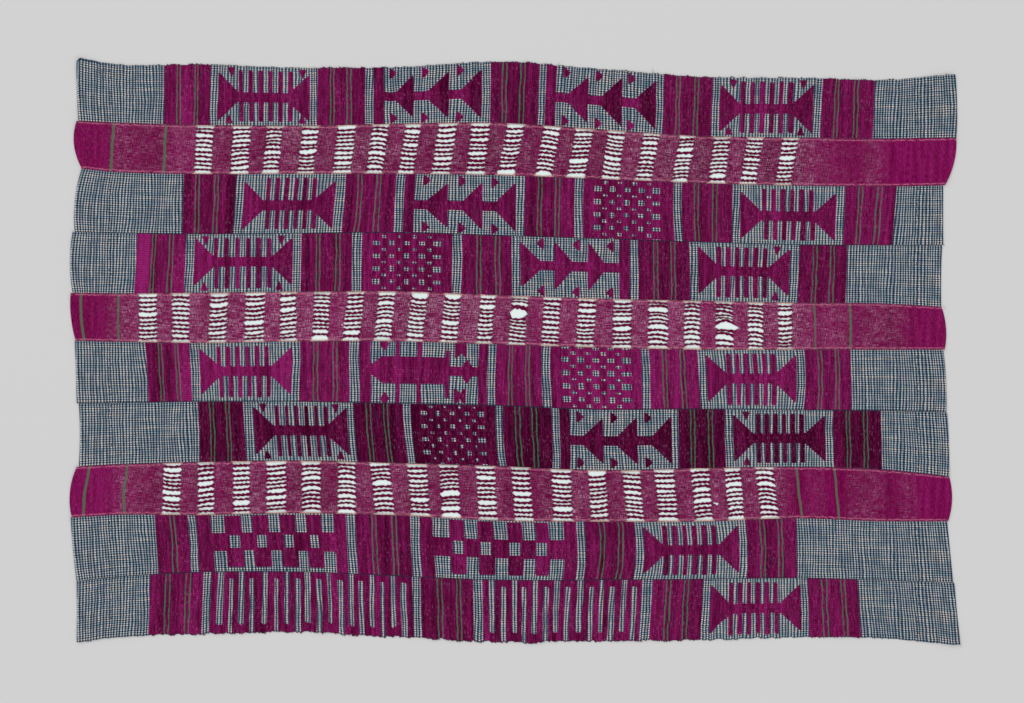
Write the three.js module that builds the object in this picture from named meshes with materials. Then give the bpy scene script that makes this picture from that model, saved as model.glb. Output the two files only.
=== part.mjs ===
// A Yoruba strip-woven wrapper laid flat: ten narrow strips sewn edge to edge, three of them openwork.
// Millimetres, +X to the photo's right, +Y to the photo's top, +Z up, the cloth lying on z = 0.
import * as THREE from 'three';

const MM_PER_PX = 2.0;              // one photo pixel on the cloth
const CENTRE = { x: 514.83, y: 351.456 }; // photo pixel that is the middle of the cloth
const SEAM_GAP = 0.3;               // clear space between two sewn strips
const PLY = 1.2;                    // one layer of cloth
const HEM = 2.4;                    // the doubled end of a strip
const RAMP = 1.5;                   // photo pixels over which a hem thins to one layer
const REACH = { left: 66, right: 964 };

// Where the eleven long lines run: the top edge, nine seams and the bottom edge, as photo rows
// at the photo columns in LINE_X.
const LINE_X = [76, 120, 200, 300, 400, 500, 600, 700, 800, 880, 955];
const LINES = [
  [57, 65, 64.5, 68, 67, 62, 69, 77, 78, 80, 74],
  [121, 123, 125.3, 126, 124, 123.1, 129.8, 136.3, 137.9, 138.9, 137.9],
  [168, 172.2, 174, 173.6, 173.7, 175.2, 178.8, 183, 185.5, 186.3, 185],
  [231.7, 232.9, 234, 233.3, 232.4, 235.5, 238.7, 242, 244.8, 245.2, 245.2],
  [293, 293.6, 293, 292, 291.6, 295.5, 298.8, 301, 303, 303.6, 308],
  [340.8, 341.6, 342.8, 341.2, 341.2, 344.3, 347.5, 349.5, 349.5, 349.5, 349.5],
  [403.4, 402.8, 401.5, 401.5, 403.5, 405.5, 409.6, 409, 410, 410.5, 412.4],
  [466.8, 464.5, 462.2, 460.8, 463.3, 466.3, 470.4, 468.4, 467, 469.5, 477.3],
  [517, 514.6, 514.8, 513, 515.3, 520.4, 521.4, 521.3, 518.2, 521, 521],
  [581.3, 576.5, 572, 571.7, 575.9, 579.8, 579.8, 578.9, 577.9, 580, 582.5],
  [642.5, 637, 634, 632, 637, 642, 641, 640, 637, 638, 644.5],
];

// Each strip: its ends at the top, middle and bottom of its width, and how far its ends curl up in mm.
const STRIPS = [
  { name: 'strip_01_check', left: [77, 77, 79], right: [955, 957, 956], curl: [5, 2.5] },
  { name: 'strip_02_open', left: [77, 74, 82], right: [956, 957, 946], curl: [2.5, 3], open: 0 },
  { name: 'strip_03_check', left: [78, 75, 75], right: [943, 943, 943], curl: [1.5, 1.5] },
  { name: 'strip_04_check', left: [73, 70, 73], right: [942, 941, 941], curl: [2, 1] },
  { name: 'strip_05_open', left: [71, 71, 76], right: [943, 946, 947], curl: [2.5, 2], open: 1 },
  { name: 'strip_06_check', left: [75, 76, 77], right: [943, 946, 946], curl: [1.5, 1.5] },
  { name: 'strip_07_check', left: [79, 80, 79], right: [947, 949, 949], curl: [1, 2] },
  { name: 'strip_08_open', left: [77, 70, 72], right: [949, 952, 948], curl: [3, 2], open: 2 },
  { name: 'strip_09_check', left: [71, 73, 77], right: [947, 950, 953], curl: [1.5, 1.5] },
  { name: 'strip_10_check', left: [77, 77, 77], right: [954, 957, 960], curl: [2.5, 4] },
];

// Each openwork strip: its plain stations before the columns, the left edge of each column of gaps at
// the strip's top and bottom edge, the columns' widths, and its plain stations after them.
const OPENWORK = [
  {
    before: [112, 150],
    top: [197, 233, 267.6, 303, 338, 372.7, 406, 439, 471.6, 508, 544, 576, 608, 644, 680, 714, 748, 783],
    bottom: [194, 230, 262, 297, 332.6, 365.5, 398, 431, 465.5, 497, 535, 566.5, 602, 635, 671.6, 708, 740, 775],
    width: [17, 18, 16, 16, 18, 16.5, 15, 18.5, 19, 17, 16.5, 18, 17, 16, 15, 16.5, 15.5, 15.5],
    after: [830, 860, 888, 918],
  },
  {
    before: [106],
    top: [139, 172, 211, 245.6, 280, 314.5, 348, 379, 412, 445, 481, 512, 544, 579, 613.5, 648, 684, 715, 748, 778],
    bottom: [139, 172, 208, 243.7, 280, 311.6, 342, 374, 406, 440, 476, 508, 541, 576, 612, 648, 684, 716, 748, 778],
    width: [18, 17.5, 17.3, 20, 16.5, 16.3, 17, 16.5, 16.3, 16.5, 15, 16.5, 17, 17.5, 19, 20, 16, 17.5, 15, 14],
    after: [825, 870, 916],
  },
  {
    before: [110, 138],
    top: [164, 198, 233, 266.6, 301.5, 338, 370, 407, 439, 476, 511, 551, 588, 622, 654, 690.5, 724.6, 755],
    bottom: [162, 198, 233, 266.6, 301.5, 338, 375, 411, 442, 479, 515, 553, 591, 627, 659, 695, 729, 761],
    width: [17.5, 16, 17, 19.4, 19, 17.6, 19.5, 19.5, 19, 18.5, 18.5, 20, 17.5, 17.3, 19.5, 18.3, 15.3, 18],
    after: [815, 866, 892, 918],
  },
];
const GAPS_PER_COLUMN = 5;          // the real column has ten or eleven, cut here at twice their pitch

const lerp = (a, b, t) => a + (b - a) * t;

// Smooth curve through the table's points (Catmull-Rom), held level outside them.
function smooth(xs, ys, x) {
  if (x <= xs[0]) return ys[0];
  const last = xs.length - 1;
  if (x >= xs[last]) return ys[last];
  let i = 0;
  while (xs[i + 1] < x) i += 1;
  const slope = (k) => {
    const a = Math.max(k - 1, 0);
    const b = Math.min(k + 1, last);
    return (ys[b] - ys[a]) / (xs[b] - xs[a]);
  };
  const w = xs[i + 1] - xs[i];
  const t = (x - xs[i]) / w;
  const h00 = (1 + 2 * t) * (1 - t) ** 2;
  const h10 = t * (1 - t) ** 2;
  const h01 = t * t * (3 - 2 * t);
  const h11 = t * t * (t - 1);
  return h00 * ys[i] + h10 * w * slope(i) + h01 * ys[i + 1] + h11 * w * slope(i + 1);
}

// A repeatable value from 0 to 1 for a column and a row.
function uneven(a, b) {
  const s = Math.sin(a * 12.9898 + b * 78.233 + 4.1) * 43758.5453;
  return s - Math.floor(s);
}

// Stations shared by every strip: both hem steps, the columns' left edges and the last right edge.
function stations(work, edge) {
  const cols = work[edge];
  const n = cols.length;
  const lastRight = cols[n - 1] + work.width[n - 1];
  const after = work.after;
  const hem = after[after.length - 1];
  return [work.before[0], work.before[0] + RAMP, ...work.before.slice(1), ...cols, lastRight,
    ...after.slice(0, -1), hem - RAMP, hem];
}

const mean = (a, b) => a.map((v, i) => (v + b[i]) / 2);
const [W2, W5, W8] = OPENWORK;
const KNOTS = [
  stations(W2, 'top'), stations(W2, 'top'), stations(W2, 'bottom'),
  mean(stations(W2, 'bottom'), stations(W5, 'top')),
  stations(W5, 'top'), stations(W5, 'bottom'),
  mean(stations(W5, 'bottom'), stations(W8, 'top')),
  stations(W8, 'top'), stations(W8, 'bottom'), stations(W8, 'bottom'), stations(W8, 'bottom'),
];

// Row of long line `line` at column x: straight between the stations, so that both strips share it.
function lineRow(line, x) {
  const xs = [REACH.left, ...KNOTS[line], REACH.right];
  let i = 0;
  while (i < xs.length - 2 && xs[i + 1] < x) i += 1;
  const a = smooth(LINE_X, LINES[line], xs[i]);
  const b = smooth(LINE_X, LINES[line], xs[i + 1]);
  return lerp(a, b, (x - xs[i]) / (xs[i + 1] - xs[i]));
}

// How far a long line is puckered off the surface, in mm.
function pucker(line, x) {
  const free = line === 0 || line === 10 ? 1.2 : 0.7;
  return free * (1 + 0.8 * Math.sin(x * 0.061 + line * 1.9) + 0.2 * Math.sin(x * 0.17 + line));
}

function endCurve(values, t) {
  const [a, m, b] = values;
  return a * (1 - t) * (1 - 2 * t) + 4 * m * t * (1 - t) + b * t * (2 * t - 1);
}

// One strip as a grid of stations along it and rows across it.
function stripGrid(index) {
  const strip = STRIPS[index];
  const work = strip.open === undefined ? null : OPENWORK[strip.open];
  const top = [...KNOTS[index]];
  const bottom = [...KNOTS[index + 1]];
  const cut = top.map(() => -1);
  if (work) {
    const first = work.before.length + 1;
    for (let c = work.top.length - 1; c >= 0; c -= 1) {
      cut[first + c] = c;
      if (c < work.top.length - 1) {
        top.splice(first + c + 1, 0, work.top[c] + work.width[c]);
        bottom.splice(first + c + 1, 0, work.bottom[c] + work.width[c]);
        cut.splice(first + c + 1, 0, -1);
      }
    }
  }
  const n = top.length + 2;
  const rows = work ? 2 + 2 * GAPS_PER_COLUMN : 4;
  const share = (i, r) => {
    if (!work) return [0, 0.2, 0.8, 1][r];
    if (r === 0) return 0;
    if (r === rows - 1) return 1;
    const even = (r - 1) / (rows - 3);
    const spread = (uneven(i * 0.5 + index, r) - 0.5) * 0.018;
    const gapFirst = r % 2 === 1 ? -0.016 : 0.016;
    return lerp(0.07, 0.93, even) + gapFirst + spread;
  };
  const points = [];
  for (let i = 0; i < n; i += 1) {
    const line = [];
    for (let r = 0; r < rows; r += 1) {
      const t = share(i, r);
      let xt;
      let xb;
      if (i === 0 || i === n - 1) {
        const side = i === 0 ? strip.left : strip.right;
        xt = side[0];
        xb = side[2];
      } else {
        xt = top[i - 1];
        xb = bottom[i - 1];
      }
      const px = i === 0 ? endCurve(strip.left, t) : i === n - 1 ? endCurve(strip.right, t) : lerp(xt, xb, t);
      const py = lerp(lineRow(index, xt), lineRow(index + 1, xb), t);
      const x = (px - CENTRE.x) * MM_PER_PX;
      let y = (CENTRE.y - py) * MM_PER_PX;
      if (r === 0 && index > 0) y -= SEAM_GAP / 2;
      if (r === rows - 1 && index < 9) y += SEAM_GAP / 2;
      let z = 0;
      if (r === 0) z += pucker(index, px);
      if (r === rows - 1) z += pucker(index + 1, px);
      if (i === 0) z += strip.curl[0] * (0.55 + 0.45 * Math.cos(6 * t));
      if (i === n - 1) z += strip.curl[1] * (0.55 + 0.45 * Math.cos(5 * t + 1));
      const doubled = i <= 1 || i >= n - 2;
      line.push({ x, y, z, thick: doubled ? HEM : PLY });
    }
    points.push(line);
  }
  const solid = (i, r) => {
    if (i < 0 || r < 0 || i >= n - 1 || r >= rows - 1) return false;
    const column = i > 0 ? cut[i - 1] : -1;
    return !(column >= 0 && r % 2 === 1);
  };
  return { points, n, rows, solid };
}

// The grid as a closed sheet: top, underside and a wall wherever a cell has no neighbour.
function sheet({ points, n, rows, solid }) {
  const xyz = [];
  const at = (i, r, side) => (i * rows + r) * 2 + side;
  for (let i = 0; i < n; i += 1) {
    for (let r = 0; r < rows; r += 1) {
      const p = points[i][r];
      xyz.push(p.x, p.y, p.z, p.x, p.y, p.z + p.thick);
    }
  }
  const faces = [];
  const quad = (a, b, c, d) => faces.push(a, b, c, a, c, d);
  for (let i = 0; i < n - 1; i += 1) {
    for (let r = 0; r < rows - 1; r += 1) {
      if (solid(i, r)) {
        quad(at(i, r, 1), at(i, r + 1, 1), at(i + 1, r + 1, 1), at(i + 1, r, 1));
        quad(at(i, r, 0), at(i + 1, r, 0), at(i + 1, r + 1, 0), at(i, r + 1, 0));
        const wall = (a, b) => quad(at(...a, 0), at(...b, 0), at(...b, 1), at(...a, 1));
        if (!solid(i - 1, r)) wall([i, r], [i, r + 1]);
        if (!solid(i, r + 1)) wall([i, r + 1], [i + 1, r + 1]);
        if (!solid(i + 1, r)) wall([i + 1, r + 1], [i + 1, r]);
        if (!solid(i, r - 1)) wall([i + 1, r], [i, r]);
      }
    }
  }
  const used = new Map();
  const kept = [];
  const index = faces.map((v) => {
    if (!used.has(v)) {
      used.set(v, used.size);
      kept.push(xyz[v * 3], xyz[v * 3 + 1], xyz[v * 3 + 2]);
    }
    return used.get(v);
  });
  const geometry = new THREE.BufferGeometry();
  geometry.setAttribute('position', new THREE.Float32BufferAttribute(kept, 3));
  geometry.setIndex(index);
  geometry.computeVertexNormals();
  return geometry;
}

const checkCloth = new THREE.MeshStandardMaterial({ name: 'check_cloth', color: 0x7d8794, roughness: 0.9 });
const openCloth = new THREE.MeshStandardMaterial({ name: 'open_cloth', color: 0x8a1656, roughness: 0.85 });

const part = new THREE.Group();
part.name = 'aso_oke_wrapper';
STRIPS.forEach((strip, index) => {
  const mesh = new THREE.Mesh(sheet(stripGrid(index)), strip.open === undefined ? checkCloth : openCloth);
  mesh.name = strip.name;
  part.add(mesh);
});

export default part;
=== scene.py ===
"""A Yoruba strip-woven wrapper laid flat: ten narrow strips sewn edge to edge, three of them openwork.

Places on the cloth are given in photo pixels, names ending in _px, and turned into the row's metres in
one place. One pixel is 2 mm of cloth; rows grow downwards in the photo, +Y upwards in the row.
"""

import logging
from dataclasses import dataclass, field
from enum import Enum
from typing import Protocol, Sequence

import bpy
import numpy as np
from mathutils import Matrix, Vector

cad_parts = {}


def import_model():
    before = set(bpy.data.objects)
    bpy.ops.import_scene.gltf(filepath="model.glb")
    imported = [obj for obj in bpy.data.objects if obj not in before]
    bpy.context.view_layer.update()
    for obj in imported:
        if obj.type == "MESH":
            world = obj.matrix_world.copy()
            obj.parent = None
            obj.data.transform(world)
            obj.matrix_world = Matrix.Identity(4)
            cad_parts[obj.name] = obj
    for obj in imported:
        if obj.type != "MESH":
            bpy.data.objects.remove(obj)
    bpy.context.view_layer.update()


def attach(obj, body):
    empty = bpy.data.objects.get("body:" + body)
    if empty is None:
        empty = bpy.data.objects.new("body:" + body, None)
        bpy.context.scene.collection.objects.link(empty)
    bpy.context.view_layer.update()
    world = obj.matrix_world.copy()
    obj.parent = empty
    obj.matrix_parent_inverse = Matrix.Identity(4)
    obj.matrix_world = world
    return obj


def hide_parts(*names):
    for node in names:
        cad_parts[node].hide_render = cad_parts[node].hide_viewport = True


Array = np.ndarray
Socket = bpy.types.NodeSocket
log = logging.getLogger("wrapper")

# Sizes of the cloth in metres: one photo pixel, the clear space of a sewn seam, one ply and a folded hem.
PX = 0.002
SEAM_GAP = 0.0003
PLY = 0.0012
HEM = 0.0023
MM_PER_PX = 2
MIDDLE_PX = (514.83, 351.456)
# In px: a depth that lies outside every woven-in figure, and how far a figure is drawn past an edge.
OUTSIDE = -40.0
PAST = 9.0

# The cloth's two free edges and nine seams: photo columns, and each line's row at every one of them.
LINE_X = np.array([76, 120, 200, 300, 400, 500, 600, 700, 800, 880, 955], float)
LINES = np.array([
    [57, 65, 64.5, 68, 67, 62, 69, 77, 78, 80, 74],
    [121, 123, 125.3, 126, 124, 123.1, 129.8, 136.3, 137.9, 138.9, 137.9],
    [168, 172.2, 174, 173.6, 173.7, 175.2, 178.8, 183, 185.5, 186.3, 185],
    [231.7, 232.9, 234, 233.3, 232.4, 235.5, 238.7, 242, 244.8, 245.2, 245.2],
    [293, 293.6, 293, 292, 291.6, 295.5, 298.8, 301, 303, 303.6, 308],
    [340.8, 341.6, 342.8, 341.2, 341.2, 344.3, 347.5, 349.5, 349.5, 349.5, 349.5],
    [403.4, 402.8, 401.5, 401.5, 403.5, 405.5, 409.6, 409, 410, 410.5, 412.4],
    [466.8, 464.5, 462.2, 460.8, 463.3, 466.3, 470.4, 468.4, 467, 469.5, 477.3],
    [517, 514.6, 514.8, 513, 515.3, 520.4, 521.4, 521.3, 518.2, 521, 521],
    [581.3, 576.5, 572, 571.7, 575.9, 579.8, 579.8, 578.9, 577.9, 580, 582.5],
    [642.5, 637, 634, 632, 637, 642, 641, 640, 637, 638, 644.5],
])


def smooth_curve(xs: Array, ys: Array, x: Array) -> Array:
    """A smooth curve through a table's points, held level outside them.

    Args:
        xs: the table's places, rising.
        ys: the value at each place.
        x: where the curve is wanted.
    Returns:
        The curve's values at x.
    """
    slope = np.empty_like(ys)
    slope[1:-1] = (ys[2:] - ys[:-2]) / (xs[2:] - xs[:-2])
    slope[0] = (ys[1] - ys[0]) / (xs[1] - xs[0])
    slope[-1] = (ys[-1] - ys[-2]) / (xs[-1] - xs[-2])
    x = np.clip(x, xs[0], xs[-1])
    i = np.clip(np.searchsorted(xs, x, side="right") - 1, 0, len(xs) - 2)
    w = xs[i + 1] - xs[i]
    t = (x - xs[i]) / w
    a = (1 + 2 * t) * (1 - t) ** 2 * ys[i] + t * (1 - t) ** 2 * w * slope[i]
    return a + t * t * (3 - 2 * t) * ys[i + 1] + t * t * (t - 1) * w * slope[i + 1]


def ease(x: Array, low: float, high: float) -> Array:
    """A soft step that rises from 0 at low to 1 at high, or falls where low is above high."""
    t = np.clip((x - low) / (high - low), 0, 1)
    return t * t * (3 - 2 * t)


def wander(x: Array, pitch: float, seed: int) -> Array:
    """A repeatable smooth unevenness from -1 to 1 along x.

    Args:
        x: places along the cloth, any unit.
        pitch: the length over which it changes, in the same unit.
        seed: which unevenness.
    Returns:
        Its values at x.
    """
    knots = np.random.default_rng(seed).uniform(-1, 1, 4096)
    p = np.asarray(x, float) / pitch + 700
    i = np.floor(p).astype(int)
    f = p - i
    f = f * f * (3 - 2 * f)
    return knots[i % 4096] * (1 - f) + knots[(i + 1) % 4096] * f


def to_metres(x_px: Array, y_px: Array) -> tuple[Array, Array]:
    """Photo pixels as metres in the row's frame."""
    return (x_px - MIDDLE_PX[0]) * PX, (MIDDLE_PX[1] - y_px) * PX


@dataclass(frozen=True)
class SeamPlan:
    """Where the eleven long lines run, how ragged the two free ones are and how far each puckers up."""

    top_fray: tuple[float, float] = (0.55, 0.4)
    low_fray: tuple[float, float] = (1.0, 0.85)
    corner_drop: float = 5.5
    free_lift_mm: float = 1.2
    seam_lift_mm: float = 0.7

    def row(self, line: int, x_px: Array) -> Array:
        """The photo row of a long line at some columns, with the fray of the two free edges.

        Args:
            line: the line's number, from 0 at the photo's top edge to 10.
            x_px: photo columns.
        Returns:
            The rows.
        """
        y = smooth_curve(LINE_X, LINES[line], x_px)
        if line == 0:
            coarse, fine = self.top_fray
            y = y + coarse * wander(x_px, 5.5, 11) + fine * wander(x_px, 2.3, 12)
            y = y + self.corner_drop * np.clip((82.5 - x_px) / 5.5, 0, 1) ** 2
        if line == 10:
            worn = 0.3 + 0.7 * ease(x_px, 120, 190) * ease(x_px, 830, 770)
            coarse, fine = self.low_fray
            y = y + worn * (coarse * wander(x_px, 7.5, 13) + fine * wander(x_px, 2.6, 14))
        return y

    def pucker(self, line: int, x_px: Array) -> Array:
        """How far a long line stands off the surface, in metres.

        Args:
            line: the line's number, from 0 at the photo's top edge to 10.
            x_px: photo columns.
        Returns:
            The heights.
        """
        most = self.free_lift_mm if line in (0, 10) else self.seam_lift_mm
        wave = 1 + 0.8 * np.sin(x_px * 0.061 + line * 1.9) + 0.2 * np.sin(x_px * 0.17 + line)
        return most * wave / 1000


PLAN = SeamPlan()


def end_curve(values: Sequence[float], t: Array) -> Array:
    """The curve of a strip's end through its top, middle and bottom columns."""
    a, m, b = values
    return a * (1 - t) * (1 - 2 * t) + 4 * m * t * (1 - t) + b * t * (2 * t - 1)


@dataclass
class Sheet:
    """A closed sheet over a grid: places, heights and what the finish reads at each grid point.

    Axis 0 of every array runs along the strip and axis 1 across it, from the photo's top edge down.
    """

    x: Array
    y: Array
    low: Array
    high: Array
    weave_u: Array
    weave_v: Array
    keep: Array
    marks: dict[str, Array] = field(default_factory=dict)

    def faces(self) -> tuple[Array, Array]:
        """The sheet's quads, top, underside and walls, and the grid column and side of each.

        Returns:
            The quads, and a row of grid column and side for each.
        """
        n, m = self.x.shape
        keep = np.zeros((n + 1, m + 1), bool)
        keep[1:n, 1:m] = self.keep
        i, r = np.nonzero(self.keep)

        def at(di: int, dr: int, side: int) -> Array:
            """The points one step on along or across, or at the cell's own corner, on a side."""
            return ((i + di) * m + r + dr) * 2 + side

        top = np.stack([at(0, 0, 1), at(0, 1, 1), at(1, 1, 1), at(1, 0, 1)], 1)
        under = np.stack([at(0, 0, 0), at(1, 0, 0), at(1, 1, 0), at(0, 1, 0)], 1)
        parts = [top, under]
        tags = [np.stack([i, np.ones_like(i)], 1), np.stack([i, np.zeros_like(i)], 1)]
        sides = [((-1, 0), (0, 0), (0, 1)), ((0, 1), (0, 1), (1, 1)),
                 ((1, 0), (1, 1), (1, 0)), ((0, -1), (1, 0), (0, 0))]
        for (ni, nr), a, b in sides:
            bare = ~keep[i + 1 + ni, r + 1 + nr]
            wall = np.stack([at(*a, 0), at(*b, 0), at(*b, 1), at(*a, 1)], 1)[bare]
            parts.append(wall)
            tags.append(np.stack([i[bare], np.ones(bare.sum(), int)], 1))
        return np.concatenate(parts), np.concatenate(tags)

    def bake_map(self, quads: Array, tags: Array) -> Array:
        """A second layout of the faces: each side as three stacked lengths, so that the weave stays sharp.

        Args:
            quads: the four points of each face.
            tags: the grid column and the side of each face.
        Returns:
            The place in the layout of each corner of each face.
        """
        n, m = self.x.shape
        lengths = 3
        seg = np.minimum(tags[:, 0] * lengths // (n - 1), lengths - 1)
        vert = quads // 2
        vi, vr = vert // m, vert % m
        along = self.x[vi, vr]
        across = self.weave_v[vi, vr]
        starts = np.array([along[seg == k].min() for k in range(lengths)])
        spans = np.array([along[seg == k].max() for k in range(lengths)]) - starts
        u = 0.01 + 0.98 * (along - starts[seg][:, None]) / spans.max()
        shelf = seg + lengths * (1 - tags[:, 1])
        v = (shelf[:, None] + 0.04 + 0.92 * across / self.weave_v.max()) / (2 * lengths)
        return np.stack([u, v], -1).reshape(-1, 2)

    def build(self, name: str) -> bpy.types.Object:
        """Makes the mesh with its maps and attributes and returns its object.

        Args:
            name: the name that it gets.
        Returns:
            The piece.
        """
        quads, tags = self.faces()
        points = np.stack([np.stack([self.x, self.y, z], -1) for z in (self.low, self.high)], 2)
        used, quads_used = np.unique(quads, return_inverse=True)
        quads_used = quads_used.reshape(-1, 4)
        mesh = bpy.data.meshes.new(name)
        mesh.from_pydata(points.reshape(-1, 3)[used], [], quads_used)
        bake = mesh.uv_layers.new(name="OFBake")
        bake.data.foreach_set("uv", self.bake_map(quads, tags).astype(np.float32).ravel())
        weave = mesh.uv_layers.new(name="weave")
        grid = np.stack([self.weave_u, self.weave_v], -1).reshape(-1, 2)
        weave.data.foreach_set("uv", grid[quads // 2].astype(np.float32).ravel())
        for key, values in self.marks.items():
            both = np.repeat(values.reshape(-1), 2)[used]
            mesh.attributes.new(key, "FLOAT", "POINT").data.foreach_set("value", both.astype(np.float32))
        mesh.validate()
        obj = put_in_scene(name, mesh)
        shade(obj, 50)
        return obj


def put_in_scene(name: str, data: bpy.types.ID) -> bpy.types.Object:
    """Puts a mesh, a lamp or a camera into the scene under a name.

    Args:
        name: the name that it gets.
        data: the mesh, lamp or camera.
    Returns:
        The object.
    """
    obj = bpy.data.objects.new(name, data)
    bpy.context.scene.collection.objects.link(obj)
    return obj


def dress_threads(obj: bpy.types.Object, material: bpy.types.Material) -> bpy.types.Object:
    """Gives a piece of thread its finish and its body.

    Args:
        obj: the piece.
        material: the finish.
    Returns:
        The piece.
    """
    obj.data.materials.append(material)
    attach(obj, "root")
    return obj


def shade(obj: bpy.types.Object, angle: float) -> None:
    """Shades a piece smooth up to an angle in degrees.

    Args:
        obj: the piece.
        angle: the largest angle that still looks smooth, in degrees.
    """
    bpy.ops.object.select_all(action="DESELECT")
    obj.select_set(True)
    bpy.context.view_layer.objects.active = obj
    bpy.ops.object.shade_smooth_by_angle(angle=np.radians(angle))
    obj.select_set(False)


def yarns(name: str, paths: Array, radius: Array, sides: int = 4) -> bpy.types.Object:
    """Many short yarns as one mesh of closed tubes.

    Args:
        name: the piece's name.
        paths: points of each yarn's middle, shaped (yarns, points, 3), in metres.
        radius: the radius at each point, shaped (yarns, points).
        sides: sides of each tube.
    Returns:
        The new object.
    """
    count, steps, _ = paths.shape
    run = np.gradient(paths, axis=1)
    run /= np.linalg.norm(run, axis=2, keepdims=True) + 1e-12
    up = np.zeros_like(run)
    up[..., 2] = 1
    across = np.cross(run, up)
    small = np.linalg.norm(across, axis=2, keepdims=True) < 1e-3
    across = np.where(small, np.array([1.0, 0.0, 0.0]), across)
    across /= np.linalg.norm(across, axis=2, keepdims=True)
    rise = np.cross(across, run)
    turn = np.arange(sides) / sides * 2 * np.pi
    ring = (np.cos(turn)[None, None, :, None] * across[:, :, None] +
            np.sin(turn)[None, None, :, None] * rise[:, :, None])
    points = (paths[:, :, None] + ring * radius[:, :, None, None]).reshape(-1, 3)
    base = np.arange(count)[:, None, None] * steps * sides
    s = np.arange(steps - 1)[None, :, None] * sides
    k = np.arange(sides)[None, None, :]
    k2 = (k + 1) % sides
    walls = np.stack([base + s + k, base + s + sides + k, base + s + sides + k2, base + s + k2], -1)
    first = base[:, 0] + np.arange(sides)[None, :]
    last = base[:, 0] + (steps - 1) * sides + np.arange(sides)[None, ::-1]
    faces = walls.reshape(-1, 4).tolist() + first.tolist() + last.tolist()
    mesh = bpy.data.meshes.new(name)
    mesh.from_pydata(points.tolist(), [], faces)
    mesh.validate()
    obj = put_in_scene(name, mesh)
    shade(obj, 80)
    return obj


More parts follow.
